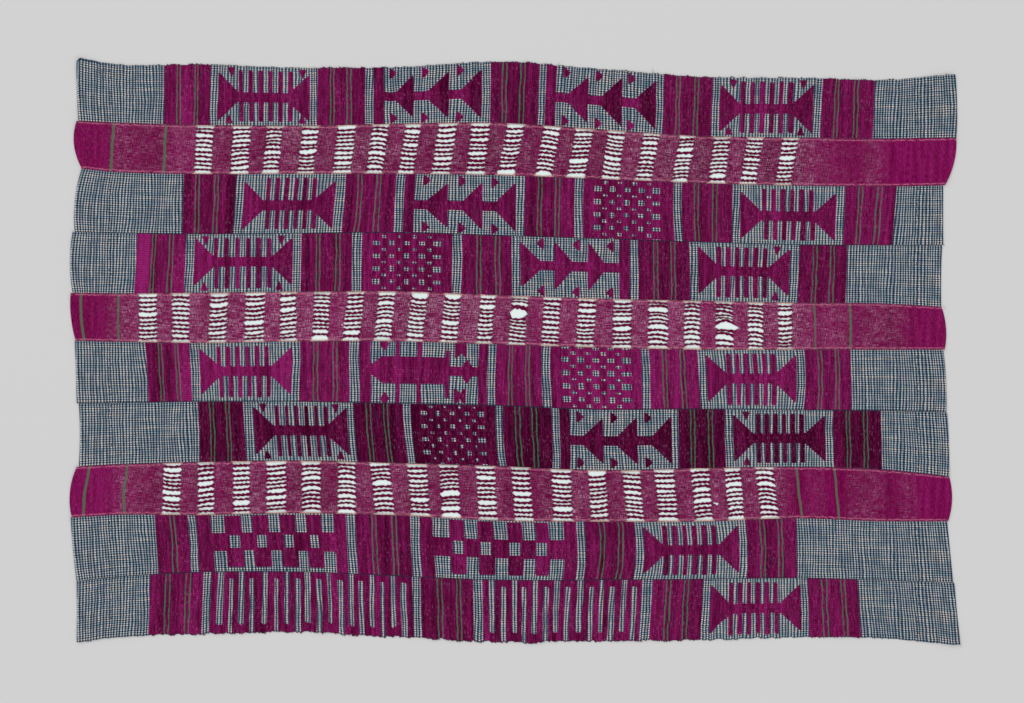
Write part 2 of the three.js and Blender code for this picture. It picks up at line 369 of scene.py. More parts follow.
class Dye:
    """One material's node tree, with short ways to add to it."""

    def __init__(self, name: str) -> None:
        """Starts an empty material of that name.

        Args:
            name: the material's name.
        """
        self.material = bpy.data.materials.new(name)
        self.material.use_nodes = True
        self.tree = self.material.node_tree
        self.tree.nodes.clear()

    def add(self, kind: str, **settings: object) -> bpy.types.Node:
        """Adds a node and sets its own options.

        Args:
            kind: the node's type.
            **settings: its options by name.
        Returns:
            The node.
        """
        node = self.tree.nodes.new(kind)
        for key, value in settings.items():
            setattr(node, key, value)
        return node

    def feed(self, socket: Socket, value: object) -> None:
        """Links a socket or sets a plain value.

        Args:
            socket: the input.
            value: a socket or a plain value.
        """
        if isinstance(value, bpy.types.NodeSocket):
            self.tree.links.new(value, socket)
        else:
            socket.default_value = value

    def sum(self, operation: str, *values: object, clamp: bool = False) -> Socket:
        """A Math node of that operation.

        Args:
            operation: what the node works out.
            *values: its inputs in order.
            clamp: whether the result is kept from 0 to 1.
        Returns:
            The result.
        """
        node = self.add("ShaderNodeMath", operation=operation, use_clamp=clamp)
        for socket, value in zip(node.inputs, values):
            self.feed(socket, value)
        return node.outputs[0]

    def step(self, value: object, low: float, high: float, start: float = 0.0, end: float = 1.0) -> Socket:
        """A soft step of a value from low to high.

        Args:
            value: the value.
            low: where the step begins.
            high: where it ends.
            start: the result before the step.
            end: the result after it.
        Returns:
            The result.
        """
        node = self.add("ShaderNodeMapRange", interpolation_type="SMOOTHSTEP")
        for socket, v in zip(node.inputs, (value, low, high, start, end)):
            self.feed(socket, v)
        return node.outputs[0]

    def mark(self, name: str) -> Socket:
        """A number that the mesh carries at each point."""
        return self.add("ShaderNodeAttribute", attribute_name=name).outputs["Fac"]

    def blend(self, share: object, a: object, b: object) -> Socket:
        """A mix of two colours by a share.

        Args:
            share: how much there is of the second colour.
            a: the first colour.
            b: the second colour.
        Returns:
            The mixed colour.
        """
        node = self.add("ShaderNodeMix", data_type="RGBA")
        self.feed(node.inputs[0], share)
        self.feed(node.inputs[6], a)
        self.feed(node.inputs[7], b)
        return node.outputs[2]

    def grid(self) -> tuple[Socket, Socket]:
        """The weave's own places in mm: along the strip and across it.

        Returns:
            The two places.
        """
        uv = self.add("ShaderNodeUVMap", uv_map="weave")
        split = self.add("ShaderNodeSeparateXYZ")
        self.feed(split.inputs[0], uv.outputs[0])
        return split.outputs[0], split.outputs[1]

    def grain(self, x: tuple[object, ...], y: tuple[object, ...], detail: float = 1.0) -> Socket:
        """Flat noise from 0 to 1, with each of its two places given as place, scale and perhaps shift.

        Args:
            x: the first place.
            y: the second place.
            detail: how fine the noise gets.
        Returns:
            The noise.
        """
        joined = self.add("ShaderNodeCombineXYZ")
        for socket, (place, scale, *shift) in zip(joined.inputs, (x, y)):
            self.feed(socket, self.sum("MULTIPLY_ADD", place, scale, *(shift or [0.0])))
        node = self.add("ShaderNodeTexNoise", noise_dimensions="2D")
        self.feed(node.inputs["Vector"], joined.outputs[0])
        self.feed(node.inputs["Scale"], 1.0)
        self.feed(node.inputs["Detail"], detail)
        return node.outputs["Fac"]

    def speckle(self, scale: float) -> Socket:
        """Noise from 0 to 1 over the object's own places.

        Args:
            scale: how many specks there are to a metre, about.
        Returns:
            The noise.
        """
        noise = self.add("ShaderNodeTexNoise")
        self.feed(noise.inputs["Vector"], self.add("ShaderNodeTexCoord").outputs["Object"])
        self.feed(noise.inputs["Scale"], scale)
        return noise.outputs["Fac"]

    def vary(self, value: object, noise: Socket, most: float, clamp: bool = False) -> Socket:
        """A value moved up and down by a noise about the noise's middle."""
        return self.sum("MULTIPLY_ADD", self.sum("SUBTRACT", noise, 0.5), most, value, clamp=clamp)

    def off(self, value: object, centre: float) -> Socket:
        """How far a value is from a centre."""
        return self.sum("ABSOLUTE", self.sum("SUBTRACT", value, centre))

    def wave(self, place: Socket, turns: float) -> Socket:
        """Even ribs along a place."""
        return self.sum("SINE", self.sum("MULTIPLY", place, turns))

    def wine_to_bright(self, value: object, middle: tuple[float, ...]) -> Socket:
        """The magenta dye from its darkest at 0 through a middle colour to its brightest at 1.

        Args:
            value: the tone, 0 to 1.
            middle: the colour at one half.
        Returns:
            The colour.
        """
        node = self.add("ShaderNodeValToRGB")
        self.feed(node.inputs[0], value)
        stops = node.color_ramp.elements
        stops[0].color = YARN.wine
        stops[1].color = YARN.bright_magenta
        stops.new(0.5).color = middle
        return node.outputs[0]

    def finish(self, colour: object, height: object, depth: float, roughness: float,
               specular: float, sheen: float) -> bpy.types.Material:
        """Ends the material with its shader and bump.

        Args:
            colour: the surface's colour.
            height: the relief, 0 to 1, or None.
            depth: the relief's depth in metres.
            roughness: the shader's roughness.
            specular: the shader's specular level.
            sheen: the shader's sheen weight.
        Returns:
            The material.
        """
        shader = self.add("ShaderNodeBsdfPrincipled")
        self.feed(shader.inputs["Base Color"], colour)
        shader.inputs["Roughness"].default_value = roughness
        shader.inputs["Specular IOR Level"].default_value = specular
        shader.inputs["Sheen Weight"].default_value = sheen
        shader.inputs["Sheen Roughness"].default_value = 0.5
        if height is not None:
            bump = self.add("ShaderNodeBump")
            bump.inputs["Distance"].default_value = depth
            bump.inputs["Strength"].default_value = 1.0
            self.feed(bump.inputs["Height"], height)
            self.feed(shader.inputs["Normal"], bump.outputs[0])
        out = self.add("ShaderNodeOutputMaterial")
        self.feed(out.inputs[0], shader.outputs[0])
        return self.material


def paint(red: float, green: float, blue: float) -> tuple[float, float, float, float]:
    """A colour given as it looks on a screen, 0 to 255, as the shader wants it.

    Args:
        red: its red, 0 to 255.
        green: its green, 0 to 255.
        blue: its blue, 0 to 255.
    Returns:
        The colour with full cover.
    """
    def linear(c: float) -> float:
        """One channel, from the screen's scale to the shader's."""
        c /= 255
        return c / 12.92 if c <= 0.04045 else ((c + 0.055) / 1.055) ** 2.4
    return (linear(red), linear(green), linear(blue), 1.0)


@dataclass(frozen=True)
class YarnColours:
    """The dyed yarns, as they look on a screen."""

    cream: tuple[float, ...] = paint(244, 230, 214)
    navy: tuple[float, ...] = paint(0, 13, 38)
    pale_blue: tuple[float, ...] = paint(74, 92, 120)
    teal_grey: tuple[float, ...] = paint(52, 86, 102)
    wine: tuple[float, ...] = paint(58, 2, 30)
    magenta: tuple[float, ...] = paint(107, 7, 65)
    inlay: tuple[float, ...] = paint(103, 14, 65)
    bright_magenta: tuple[float, ...] = paint(152, 32, 108)
    green: tuple[float, ...] = paint(36, 118, 78)
    bare: tuple[float, ...] = paint(196, 150, 176)
    pink: tuple[float, ...] = paint(186, 106, 132)
    peach: tuple[float, ...] = paint(234, 202, 184)


YARN = YarnColours()


@dataclass(frozen=True)
class CheckFinish:
    """The check ground with its magenta inlay and thin green lines, all from the weave's own places."""

    weft_pitch: float = 5.8
    warp_pitch: float = 4.44
    depth: float = 0.0003

    def build(self) -> bpy.types.Material:
        """Makes the material.

        Returns:
            The material.
        """
        dye = Dye("check_weave")
        u, v = dye.grid()
        fibre = dye.grain((u, 1.3), (v, 1.3), 2.0)
        ground = self.ground_colour(dye, u, v, fibre)
        inlay = self.inlay_colour(dye, u, v, fibre)
        edge = dye.vary(dye.mark("inlay"), fibre, 0.9)
        share = dye.step(edge, -0.22, 0.22)
        colour = dye.blend(share, ground, inlay)
        # A dark navy line along both long edges of the strip: painted shade in the seams and at the cloth's
        # edges, wider at the rolled top-left corner of the first strip.
        seam = dye.step(dye.mark("edge"), 0.9, 0.2, 0.0, 0.75)
        colour = dye.blend(seam, colour, paint(22, 38, 62))
        return dye.finish(colour, self.relief(dye, u, v, share), self.depth, 0.95, 0.0, 0.0)

    def ground_colour(self, dye: Dye, u: Socket, v: Socket, fibre: Socket) -> Socket:
        """The blue and cream check, its yarns drifting a little and its dye lots uneven.

        Args:
            dye: the material's node tree.
            u: place along the strip, in mm.
            v: place across it, in mm.
            fibre: the yarns' fine grain.
        Returns:
            The colour.
        """
        stray = dye.grain((u, 0.06), (v, 0.06), 1.0)
        stray2 = dye.grain((u, 0.03, 40.0), (v, 0.2), 1.0)
        u1 = dye.sum("MULTIPLY_ADD", stray, 1.6, u)
        v1 = dye.sum("MULTIPLY_ADD", stray2, 1.5, v)
        beat = dye.grain((u, 0.09), (3.3, 1.0), 1.0)
        slow = dye.grain((u, 0.026), (v, 0.008), 0.0)
        u2 = dye.sum("MULTIPLY_ADD", slow, 7.0, dye.sum("MULTIPLY_ADD", beat, 2.4, u1))
        weft = self.band(dye, u2, self.weft_pitch, 0.46)
        warp = self.band(dye, v1, self.warp_pitch, 0.5)
        each_warp = dye.grain((u, 0.009), (v1, 0.25, 31.0), 0.0)
        each_weft = dye.grain((u2, 0.19, 17.0), (v, 0.018), 0.0)
        strong = dye.step(each_warp, 0.32, 0.68, 0.78, 1.0)
        warp = dye.sum("MULTIPLY_ADD", dye.sum("MULTIPLY", warp, strong), 0.9, 0.1)
        cream = dye.blend(dye.step(each_warp, 0.4, 0.68), paint(226, 226, 224), YARN.cream)
        ochre = dye.blend(dye.step(each_warp, 0.4, 0.68), YARN.teal_grey, paint(70, 90, 102))
        bold = dye.sum("MULTIPLY", dye.mark("upright"), 0.26)
        warp = dye.sum("MULTIPLY_ADD", dye.sum("SUBTRACT", 1.0, warp), bold, warp)
        lit = dye.blend(warp, YARN.pale_blue, cream)
        lit = dye.blend(dye.step(each_weft, 0.45, 0.75, 0.0, 0.5), lit, YARN.pale_blue)
        dim = dye.blend(warp, YARN.navy, ochre)
        ground = dye.blend(weft, dim, lit)
        ground = dye.blend(dye.sum("MULTIPLY", bold, 0.5), ground, paint(28, 62, 88))
        cast = dye.grain((u, 0.055), (v, 0.055, 60.0), 1.0)
        ground = dye.blend(dye.step(cast, 0.45, 0.7, 0.0, 0.2), ground, paint(30, 86, 96))
        ground = dye.blend(dye.step(cast, 0.5, 0.25, 0.0, 0.12), ground, paint(112, 112, 128))
        return dye.blend(dye.step(fibre, 0.35, 0.7, 0.0, 0.25), ground, paint(20, 34, 56))

    def band(self, dye: Dye, place: Socket, pitch: float, share: float) -> Socket:
        """One light yarn band a pitch: 1 on light yarns and 0 on dark ones.

        Args:
            dye: the material's node tree.
            place: place along or across the strip, in mm.
            pitch: one light and one dark band together, in mm.
            share: the light band's share of the pitch.
        Returns:
            The band.
        """
        turn = dye.sum("FRACT", dye.sum("DIVIDE", place, pitch))
        off = dye.off(turn, 0.5)
        return dye.step(off, share / 2 + 0.08, share / 2 - 0.08)

    def inlay_colour(self, dye: Dye, u: Socket, v: Socket, fibre: Socket) -> Socket:
        """The magenta weft in its uneven dye lots, with the green lines and the warp showing faintly.

        Args:
            dye: the material's node tree.
            u: place along the strip, in mm.
            v: place across it, in mm.
            fibre: the yarns' fine grain.
        Returns:
            The colour.
        """
        lot = dye.grain((u, 0.12), (v, 0.006), 2.0)
        fine = dye.grain((u, 0.33), (v, 0.03), 1.0)
        worn = dye.grain((u, 0.02), (v, 0.02, 5.0), 1.0)
        wear = dye.step(worn, 0.35, 0.65, 0.35, 1.1)
        short = dye.grain((u, 0.6), (v, 0.13), 2.0)
        streak = dye.sum("MULTIPLY", dye.sum("SUBTRACT", short, 0.47), wear)
        tone = dye.vary(dye.mark("tone"), lot, 0.9)
        tone = dye.vary(tone, fine, 0.75)
        tone = dye.sum("MULTIPLY_ADD", streak, 1.0, tone)
        tone = dye.vary(tone, fibre, 0.2, clamp=True)
        colour = dye.wine_to_bright(tone, YARN.inlay)
        warp = self.band(dye, v, self.warp_pitch, 0.5)
        slub = dye.grain((u, 0.15), (v, 0.13), 2.0)
        colour = dye.blend(dye.sum("MULTIPLY", dye.sum("SUBTRACT", 1.0, warp), 0.3), colour, paint(52, 6, 40))
        bare = dye.grain((u, 0.42), (v, 0.13), 1.0)
        fleck = dye.sum("MULTIPLY", dye.step(bare, 0.58, 0.82, 0.0, 0.2), wear)
        colour = dye.blend(fleck, colour, paint(196, 128, 168))
        slate = dye.grain((u, 0.3, 70.0), (v, 0.02), 1.0)
        colour = dye.blend(dye.step(slate, 0.6, 0.8, 0.0, 0.35), colour, paint(84, 52, 88))
        waver = dye.grain((u, 0.05), (v, 0.028))
        local = dye.sum("FLOORED_MODULO", dye.vary(dye.mark("panel"), waver, 2.0), 100.0)
        line = None
        for centre in (20.0, 23.5, 40.0, 43.5):
            off = dye.off(local, centre)
            one = dye.step(off, 0.62, 0.28)
            line = one if line is None else dye.sum("MAXIMUM", line, one)
        strength = dye.step(slub, 0.32, 0.55, 0.45, 1.0)
        return dye.blend(dye.sum("MULTIPLY", line, strength), colour, YARN.green)

    def relief(self, dye: Dye, u: Socket, v: Socket, share: Socket) -> Socket:
        """Yarns a millimetre across, over and under, a little fuller on the inlay.

        Args:
            dye: the material's node tree.
            u: place along the strip, in mm.
            v: place across it, in mm.
            share: how much of the inlay there is, 0 to 1.
        Returns:
            The height.
        """
        ribs = dye.wave(u, 6.0)
        cords = dye.wave(v, 5.85)
        weave = dye.sum("MULTIPLY", ribs, cords)
        both = dye.sum("MULTIPLY_ADD", weave, 0.3, dye.sum("MULTIPLY", cords, 0.12))
        return dye.sum("MULTIPLY_ADD", share, 0.5, both)


@dataclass(frozen=True)
class OpenFinish:
    """The magenta openwork: thin plain weave that shows pale flecks, dense hems and twisted bars."""

    depth: float = 0.00025

    def build(self) -> bpy.types.Material:
        """Makes the material.

        Returns:
            The material.
        """
        dye = Dye("openwork_weave")
        u, v = dye.grid()
        lot = dye.grain((u, 0.12), (v, 0.01), 2.0)
        cross = dye.grain((u, 0.5), (v, 0.12), 2.0)
        along = dye.grain((u, 0.1), (v, 0.6), 2.0)
        cloud = dye.grain((u, 0.035), (v, 0.05), 2.0)
        tone = dye.vary(dye.mark("tone"), lot, 0.5)
        tone = dye.vary(tone, cross, 0.75, clamp=True)
        colour = dye.wine_to_bright(tone, YARN.magenta)
        picks = dye.grain((u, 0.85), (v, 0.1), 1.0)
        rows = dye.grain((u, 0.06), (v, 0.8), 1.0)
        rows = dye.sum("MULTIPLY_ADD", dye.wave(v, 3.1), 0.12, rows)
        picks = dye.step(picks, 0.46, 0.7)
        rows = dye.step(rows, 0.44, 0.7)
        fleck = dye.sum("MULTIPLY", picks, 0.1)
        fleck = dye.sum("MULTIPLY_ADD", dye.sum("MULTIPLY", picks, rows), 0.6, fleck)
        fleck = dye.sum("MULTIPLY_ADD", rows, 0.15, fleck)
        veil = dye.sum("MULTIPLY", fleck, dye.step(cloud, 0.3, 0.7, 0.55, 1.3))
        colour = dye.blend(dye.sum("MULTIPLY", veil, dye.mark("sheer")), colour, YARN.bare)
        colour = dye.blend(dye.sum("MULTIPLY", dye.mark("bar"), 0.9), colour, paint(92, 0, 48))
        place = dye.sum("FLOORED_MODULO", dye.mark("stripe"), 100.0)
        off = dye.off(place, 50.0)
        colour = dye.blend(dye.step(off, 1.5, 0.8, 0.0, 0.8), colour, paint(76, 108, 80))
        rim = dye.vary(dye.mark("edge"), lot, 2.6)
        rim = dye.off(rim, 1.7)
        rim_share = dye.sum("MULTIPLY", dye.step(rim, 0.95, 0.25), dye.step(along, 0.36, 0.58, 0.1, 0.85))
        colour = dye.blend(rim_share, colour, YARN.pink)
        colour = dye.blend(dye.mark("peach"), colour, YARN.peach)
        ribs = dye.wave(u, 7.0)
        cords = dye.wave(v, 6.6)
        weave = dye.sum("MULTIPLY_ADD", dye.sum("MULTIPLY", ribs, cords), 0.3, cross)
        return dye.finish(colour, weave, self.depth, 0.95, 0.0, 0.0)


@dataclass(frozen=True)
class ThreadFinish:
    """Sewing thread in one colour, darker in small patches."""

    name: str
    colour: tuple[float, ...]
    shadow: tuple[float, ...]

    def build(self) -> bpy.types.Material:
        """Makes the material.

        Returns:
            The material.
        """
        dye = Dye(self.name)
        noise = dye.speckle(700.0)
        colour = dye.blend(dye.step(noise, 0.4, 0.65), self.shadow, self.colour)
        return dye.finish(colour, noise, 0.0001, 0.8, 0.15, 0.05)


def box(x: Array, y: Array, x0: float, x1: float, y0: float, y1: float) -> Array:
    """How deep a point lies inside a box, negative outside it."""
    return np.minimum(np.minimum(x - x0, x1 - x), np.minimum(y - y0, y1 - y))


def wedge(x: Array, y: Array, neck: float, base: float, middle: float, half: float, spine: float) -> Array:
    """How deep a point lies inside a blunt-cornered triangle that grows out of a spine.

    Args:
        x: place along the strip.
        y: place across it.
        neck: where the triangle leaves the spine.
        base: the triangle's upright side.
        middle: the spine's middle.
        half: half the upright side's height.
        spine: half the spine's height.
    Returns:
        The depth, negative outside.
    """
    length = abs(base - neck) / (1 - spine / half)
    f = 1 - (base - x) / (base - neck) * (1 - spine / half)
    off = np.abs(y - middle)
    slope = (half * f - off) * length / np.hypot(length, half)
    return np.minimum(np.minimum(slope, (1 - f) * length), half - 1.0 - off)


def diamond(x: Array, y: Array, cx: float, cy: float, rx: float, ry: float) -> Array:
    """How deep a point lies inside a diamond."""
    return (1 - np.abs(x - cx) / rx - np.abs(y - cy) / ry) * min(rx, ry) * 0.8


def petal(x: Array, y: Array, cx: float, cy: float, tip: float) -> Array:
    """How deep a point lies inside a small half-diamond whose rounded tip points to +x or -x.

    Args:
        x: place along the strip, in px.
        y: place across the strip, in px.
        cx: the middle's place along the strip.
        cy: its place across the strip.
        tip: 1 or -1, the way that the tip points.
    Returns:
        The depth, positive on magenta and negative on check.
    """
    along = (x - cx) * tip + 3.9
    off = np.abs(y - cy)
    return np.minimum(along, (1 - np.hypot(along / 7.4, 0.25) - off / 6.8) * 5.2 + 0.6)


class Motif(Protocol):
    """A woven-in figure: its depth at each point, positive on magenta and negative on check."""

    def depth(self, x: Array, y: Array, h: float) -> Array:
        """How deep each point lies in the magenta, in px; h is the strip's width in px."""


@dataclass(frozen=True)
class Panel:
    """A plain magenta panel with two pairs of green lines."""

    x0: float
    x1: float
    green: tuple[float, float, float, float]

    def depth(self, x: Array, y: Array, h: float) -> Array:
        """Depth inside the panel, which runs across the whole strip."""
        return np.minimum(x - self.x0, self.x1 - x)


@dataclass(frozen=True)
class Fishbone:
    """A spine with six ribs on both sides between two triangles that face each other."""

    x0: float
    x1: float
    off: float = 0.0
    flags: tuple[tuple[float, bool], ...] = ()
    upper: tuple[float, float] = (0.0, 0.0)
    lower: tuple[float, float] = (0.0, 0.0)
    wide: float = 2.2
    half: float = 24.9
    spine: float = 4.9
    margin: float = 4.2

    def depth(self, x: Array, y: Array, h: float) -> Array:
        """Depth inside the triangles, the spine, the ribs and the flags near the corners.

        Args:
            x: place along the strip, in px.
            y: place across the strip, in px.
            h: the strip's width, in px.
        Returns:
            The depth, positive on magenta and negative on check.
        """
        mid = h / 2 + self.off
        d = wedge(x, y, self.x0 + 20.0, self.x0, mid, self.half, 5.0)
        d = np.maximum(d, wedge(x, y, self.x1 - 20.8, self.x1, mid, self.half, 5.0))
        d = np.maximum(d, box(x, y, self.x0 + 8, self.x1 - 8, mid - self.spine, mid + self.spine))
        halves = ((self.upper, self.margin, mid), (self.lower, mid, h - self.margin))
        for (first, last), y0, y1 in halves:
            for k, c in enumerate(np.linspace(self.x0 + 21.9 + first, self.x1 - 22.9 + last, 6)):
                wide = self.wide + 0.25 * np.sin(self.x0 + 2.1 * k)
                end = 0.4 * np.sin(3 * k)
                d = np.maximum(d, box(x, y, c - wide, c + wide, y0 + end, y1 - end))
        for c, top in self.flags:
            edge = 1.2 if top else h - 1.2
            flag = diamond(x, y, c, edge, 4.0, 9.6) + 0.5
            d = np.maximum(d, np.minimum(flag, np.minimum(y - 2.2, h - 2.2 - y)))
        return d


@dataclass(frozen=True)
class Arrows:
    """Three arrowheads on a spine from a full bar, with small diamonds along both edges."""

    x0: float
    x1: float
    heads: tuple[tuple[float, float], ...]
    spots: tuple[float, ...]
    mirrored: bool = False
    off: float = 0.0
    inset: float = 6.4

    def depth(self, x: Array, y: Array, h: float) -> Array:
        """Depth inside the bar, the spine, the heads and the petals along both edges.

        Args:
            x: place along the strip, in px.
            y: place across the strip, in px.
            h: the strip's width, in px.
        Returns:
            The depth, positive on magenta and negative on check.
        """
        mid = h / 2 + self.off
        bar = (self.x1 - 10.4, self.x1) if self.mirrored else (self.x0, self.x0 + 10.4)
        d = np.minimum(x - bar[0], bar[1] - x)
        run = (self.heads[0][1], self.x1) if self.mirrored else (self.x0, self.heads[-1][1])
        d = np.maximum(d, box(x, y, run[0], run[1], mid - 4.6, mid + 4.6))
        for k, (neck, base) in enumerate(self.heads):
            d = np.maximum(d, wedge(x, y, neck, base, mid, (22.9, 24.4, 24.9)[k], 4.6))
        for k, c in enumerate(self.spots):
            for cy in (self.inset + 0.1 + 0.4 * k, h - self.inset + 0.4):
                d = np.maximum(d, petal(x, y, c, cy, -1.0 if self.mirrored else 1.0))
        return d


@dataclass(frozen=True)
class Spots:
    """A magenta field with rows of larger and smaller check spots."""

    x0: float
    x1: float
    area: tuple[float, float]
    first: float = 10.5
    tight: float = 0.0

    def depth(self, x: Array, y: Array, h: float) -> Array:
        """Depth inside the field, left out where a spot lies.

        Args:
            x: place along the strip, in px.
            y: place across the strip, in px.
            h: not used.
        Returns:
            The depth, positive on magenta and negative on check.
        """
        d = np.minimum(x - self.x0, self.x1 - x)
        big = np.linspace(self.area[0] + 3.5, self.area[1] - 4.5, 5)
        small = (big[:-1] + big[1:]) / 2
        for row in range(-1, 5):
            cy = self.first + 12.9 * row
            for k, c in enumerate(big):
                wide = (4.1, 2.9, 3.1, 3.2, 4.5)[k] + 0.3 * np.sin(5 * row + k) - self.tight
                tall = 2.6 + 0.5 * np.sin(3 * row + 2 * k) - 0.6 * self.tight
                d = np.minimum(d, -box(x, y, c - wide, c + wide, cy - tall, cy + tall))
            for k, c in enumerate(small):
                tall = 1.35 + 0.35 * np.sin(4 * row + 3 * k)
                wide = 2.6 - self.tight
                d = np.minimum(d, -box(x, y, c - wide, c + wide, cy + 6.4 - tall, cy + 6.4 + tall))
        return d


@dataclass(frozen=True)
class Creature:
    """A long-bodied figure with a pointed head, three pairs of legs and a tail among small shapes."""

    x0: float
    x1: float

    def depth(self, x: Array, y: Array, h: float) -> Array:
        """Depth inside the bars, head, body, legs, tail and the notched blocks beside it.

        Args:
            x: place along the strip, in px.
            y: place across the strip, in px.
            h: the strip's width, in px.
        Returns:
            The depth, positive on magenta and negative on check.
        """
        mid = h / 2 - 2.4
        d = np.minimum(x - self.x0, self.x0 + 11.2 - x)
        d = np.maximum(d, np.minimum(x - self.x0 - 118.6, self.x1 - x))
        d = np.maximum(d, wedge(x, y, self.x0 + 10.0, self.x0 + 24.5, mid, 14.6, 3.6))
        d = np.maximum(d, box(x, y, self.x0 + 22.4, self.x0 + 89.8, mid - 13.2, mid + 13.2))
        d = np.maximum(d, box(x, y, self.x0 + 60, self.x0 + 119, mid - 4.5, mid + 4.5))
        for a, b in ((36.1, 40.2), (57.1, 61.8)):
            d = np.maximum(d, np.minimum(x - self.x0 - a, self.x0 + b - x))
        d = np.maximum(d, box(x, y, self.x0 + 85.6, self.x0 + 89.8, 7.5, h - 6))
        for cy in (3.0, h - 4.5):
            d = np.maximum(d, diamond(x, y, self.x0 + 25, cy, 4.6, 6.4) + 0.3)
        for cy, notches in ((7.5, ((101.5, 15.4, 4.6, 5.5),)),
                            (h - 8.5, ((100.8, h - 16.5, 4.2, 6.0), (100.8, h - 0.5, 3.4, 5.0)))):
            block = box(x, y, self.x0 + 94.6, self.x0 + 106.8, cy - 7.3, cy + 7.3)
            for cx, notch, rx, ry in notches:
                block = np.minimum(block, -diamond(x, y, self.x0 + cx, notch, rx, ry))
            d = np.maximum(d, block)
        return np.maximum(d, diamond(x, y, self.x0 + 107.4, mid, 8.8, 12.4))


@dataclass(frozen=True)
class Checker:
    """A magenta field with three staggered rows of check squares."""

    x0: float
    x1: float
    outer: tuple[tuple[float, float], ...]
    inner: tuple[tuple[float, float], ...]

    def depth(self, x: Array, y: Array, h: float) -> Array:
        """Depth inside the field, left out where a square or an edge line lies.

        Args:
            x: place along the strip, in px.
            y: place across the strip, in px.
            h: the strip's width, in px.
        Returns:
            The depth, positive on magenta and negative on check.
        """
        d = np.minimum(x - self.x0, self.x1 - x)
        for k, (a, b) in enumerate(self.outer):
            d = np.minimum(d, -box(x, y, a, b, -PAST, 19.2 + 0.5 * np.sin(3 * k)))
            d = np.minimum(d, -box(x, y, a + 1.2, b + 0.4, 38.0 + 0.5 * np.sin(5 * k), h + PAST))
        for a, b in self.inner:
            d = np.minimum(d, -box(x, y, a, b, 21.8, 34.8))
        first, last = self.outer[0][0] + 2, self.outer[-1][1]
        d = np.minimum(d, -box(x, y, first, last, h - 4.6, h + PAST))
        return np.minimum(d, -box(x, y, first, last, -PAST, 1.5))


@dataclass(frozen=True)
class Meander:
    """A magenta field with upright check lines that hang from the top and rise from the bottom."""

    x0: float
    x1: float
    lines: tuple[float, ...]
    wides: tuple[float, ...]

    def depth(self, x: Array, y: Array, h: float) -> Array:
        """Depth inside the field, left out where a check line lies.

        Args:
            x: place along the strip, in px.
            y: place across the strip, in px.
            h: the strip's width, in px.
        Returns:
            The depth, positive on magenta and negative on check.
        """
        d = np.minimum(x - self.x0, self.x1 - x)
        for k, c in enumerate(self.lines):
            low, high = (-PAST, h - 9.0) if k % 2 == 0 else (6.8, h + PAST)
            wide = self.wides[k] / 2 - 0.05
            sway = 0.5 * wander(y, 16.0, 640 + k)
            d = np.minimum(d, -box(x + sway, y, c - wide, c + wide, low, high))
        return d


@dataclass
class Strip:
    """What every strip has: its place in the cloth, its two ends, its hems and how they curl."""

    index: int
    left: tuple[float, float, float]
    right: tuple[float, float, float]
    curl: tuple[float, float]
    tone: float
    hems: tuple[float, float] = (110.0, 917.0)

    @property
    def node(self) -> str:
        """The name of the solid that this strip stands for."""
        return f"strip_{self.index + 1:02d}_{self.kind}"

    @property
    def kind(self) -> str:
        """The kind of strip, as the solid's name has it."""
        return "check"

    def lay(self, x_px: Array, y_px: Array, t: Array) -> tuple[Array, Array]:
        """Heights of the underside and the top of the cloth as it lies, in metres.

        Args:
            x_px: photo columns of the grid.
            y_px: photo rows of the grid.
            t: share of the strip's width from its top edge.
        Returns:
            The underside and the top.
        """
        h = PLAN.row(self.index + 1, x_px) - PLAN.row(self.index, x_px)
        up = PLAN.pucker(self.index, x_px) * np.exp(-(t * h / 6.0) ** 2)
        up = up + PLAN.pucker(self.index + 1, x_px) * np.exp(-((1 - t) * h / 6.0) ** 2)
        ripple = wander(x_px + 0.4 * y_px, 31.0, 50 + self.index) * wander(y_px, 23.0, 70 + self.index)
        low = up + 0.0005 * np.clip(ripple, 0, 1)
        near_left = ease(x_px, self.hems[0], self.left[1]) ** 2
        near_right = ease(x_px, self.hems[1], self.right[1]) ** 2
        low = low + self.curl[0] / 1000 * near_left * (0.55 + 0.45 * np.cos(6 * t))
        low = low + self.curl[1] / 1000 * near_right * (0.55 + 0.45 * np.cos(5 * t + 1))
        doubled = np.maximum(ease(x_px, self.hems[0] + 1.6, self.hems[0] - 0.6),
                             ease(x_px, self.hems[1] - 1.6, self.hems[1] + 0.6))
        high = low + PLY + (HEM - PLY) * doubled
        return low, high

    def round_ends(self, low: Array, high: Array) -> None:
        """Turns the folded ends and thins the long edges, in place.

        Args:
            low: heights of the underside, in metres.
            high: heights of the top, in metres.
        """
        for end, near in ((0, 1), (-1, -2)):
            low[end] += 0.0008
            high[end] -= 0.0009
            high[near] -= 0.0002
        for edge in (0, -1):
            high[:, edge] -= 0.00035
            low[:, edge] += 0.0002

    def close_seams(self, y: Array) -> None:
        """Leaves the clear space of the sewn seams, in place, in metres.

        Args:
            y: the sheet's places across the cloth, in metres.
        """
        if self.index > 0:
            y[:, 0] -= SEAM_GAP / 2
        if self.index < 9:
            y[:, -1] += SEAM_GAP / 2

    def dress(self, obj: bpy.types.Object, material: bpy.types.Material, slot: str) -> bpy.types.Object:
        """Gives the strip its finish and its body, and hides the solid that it stands for.

        Args:
            obj: the piece.
            material: the finish.
            slot: not used.
        Returns:
            The piece.
        """
        obj.data.materials.append(material)
        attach(obj, "root")
        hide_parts(self.node)
        return obj


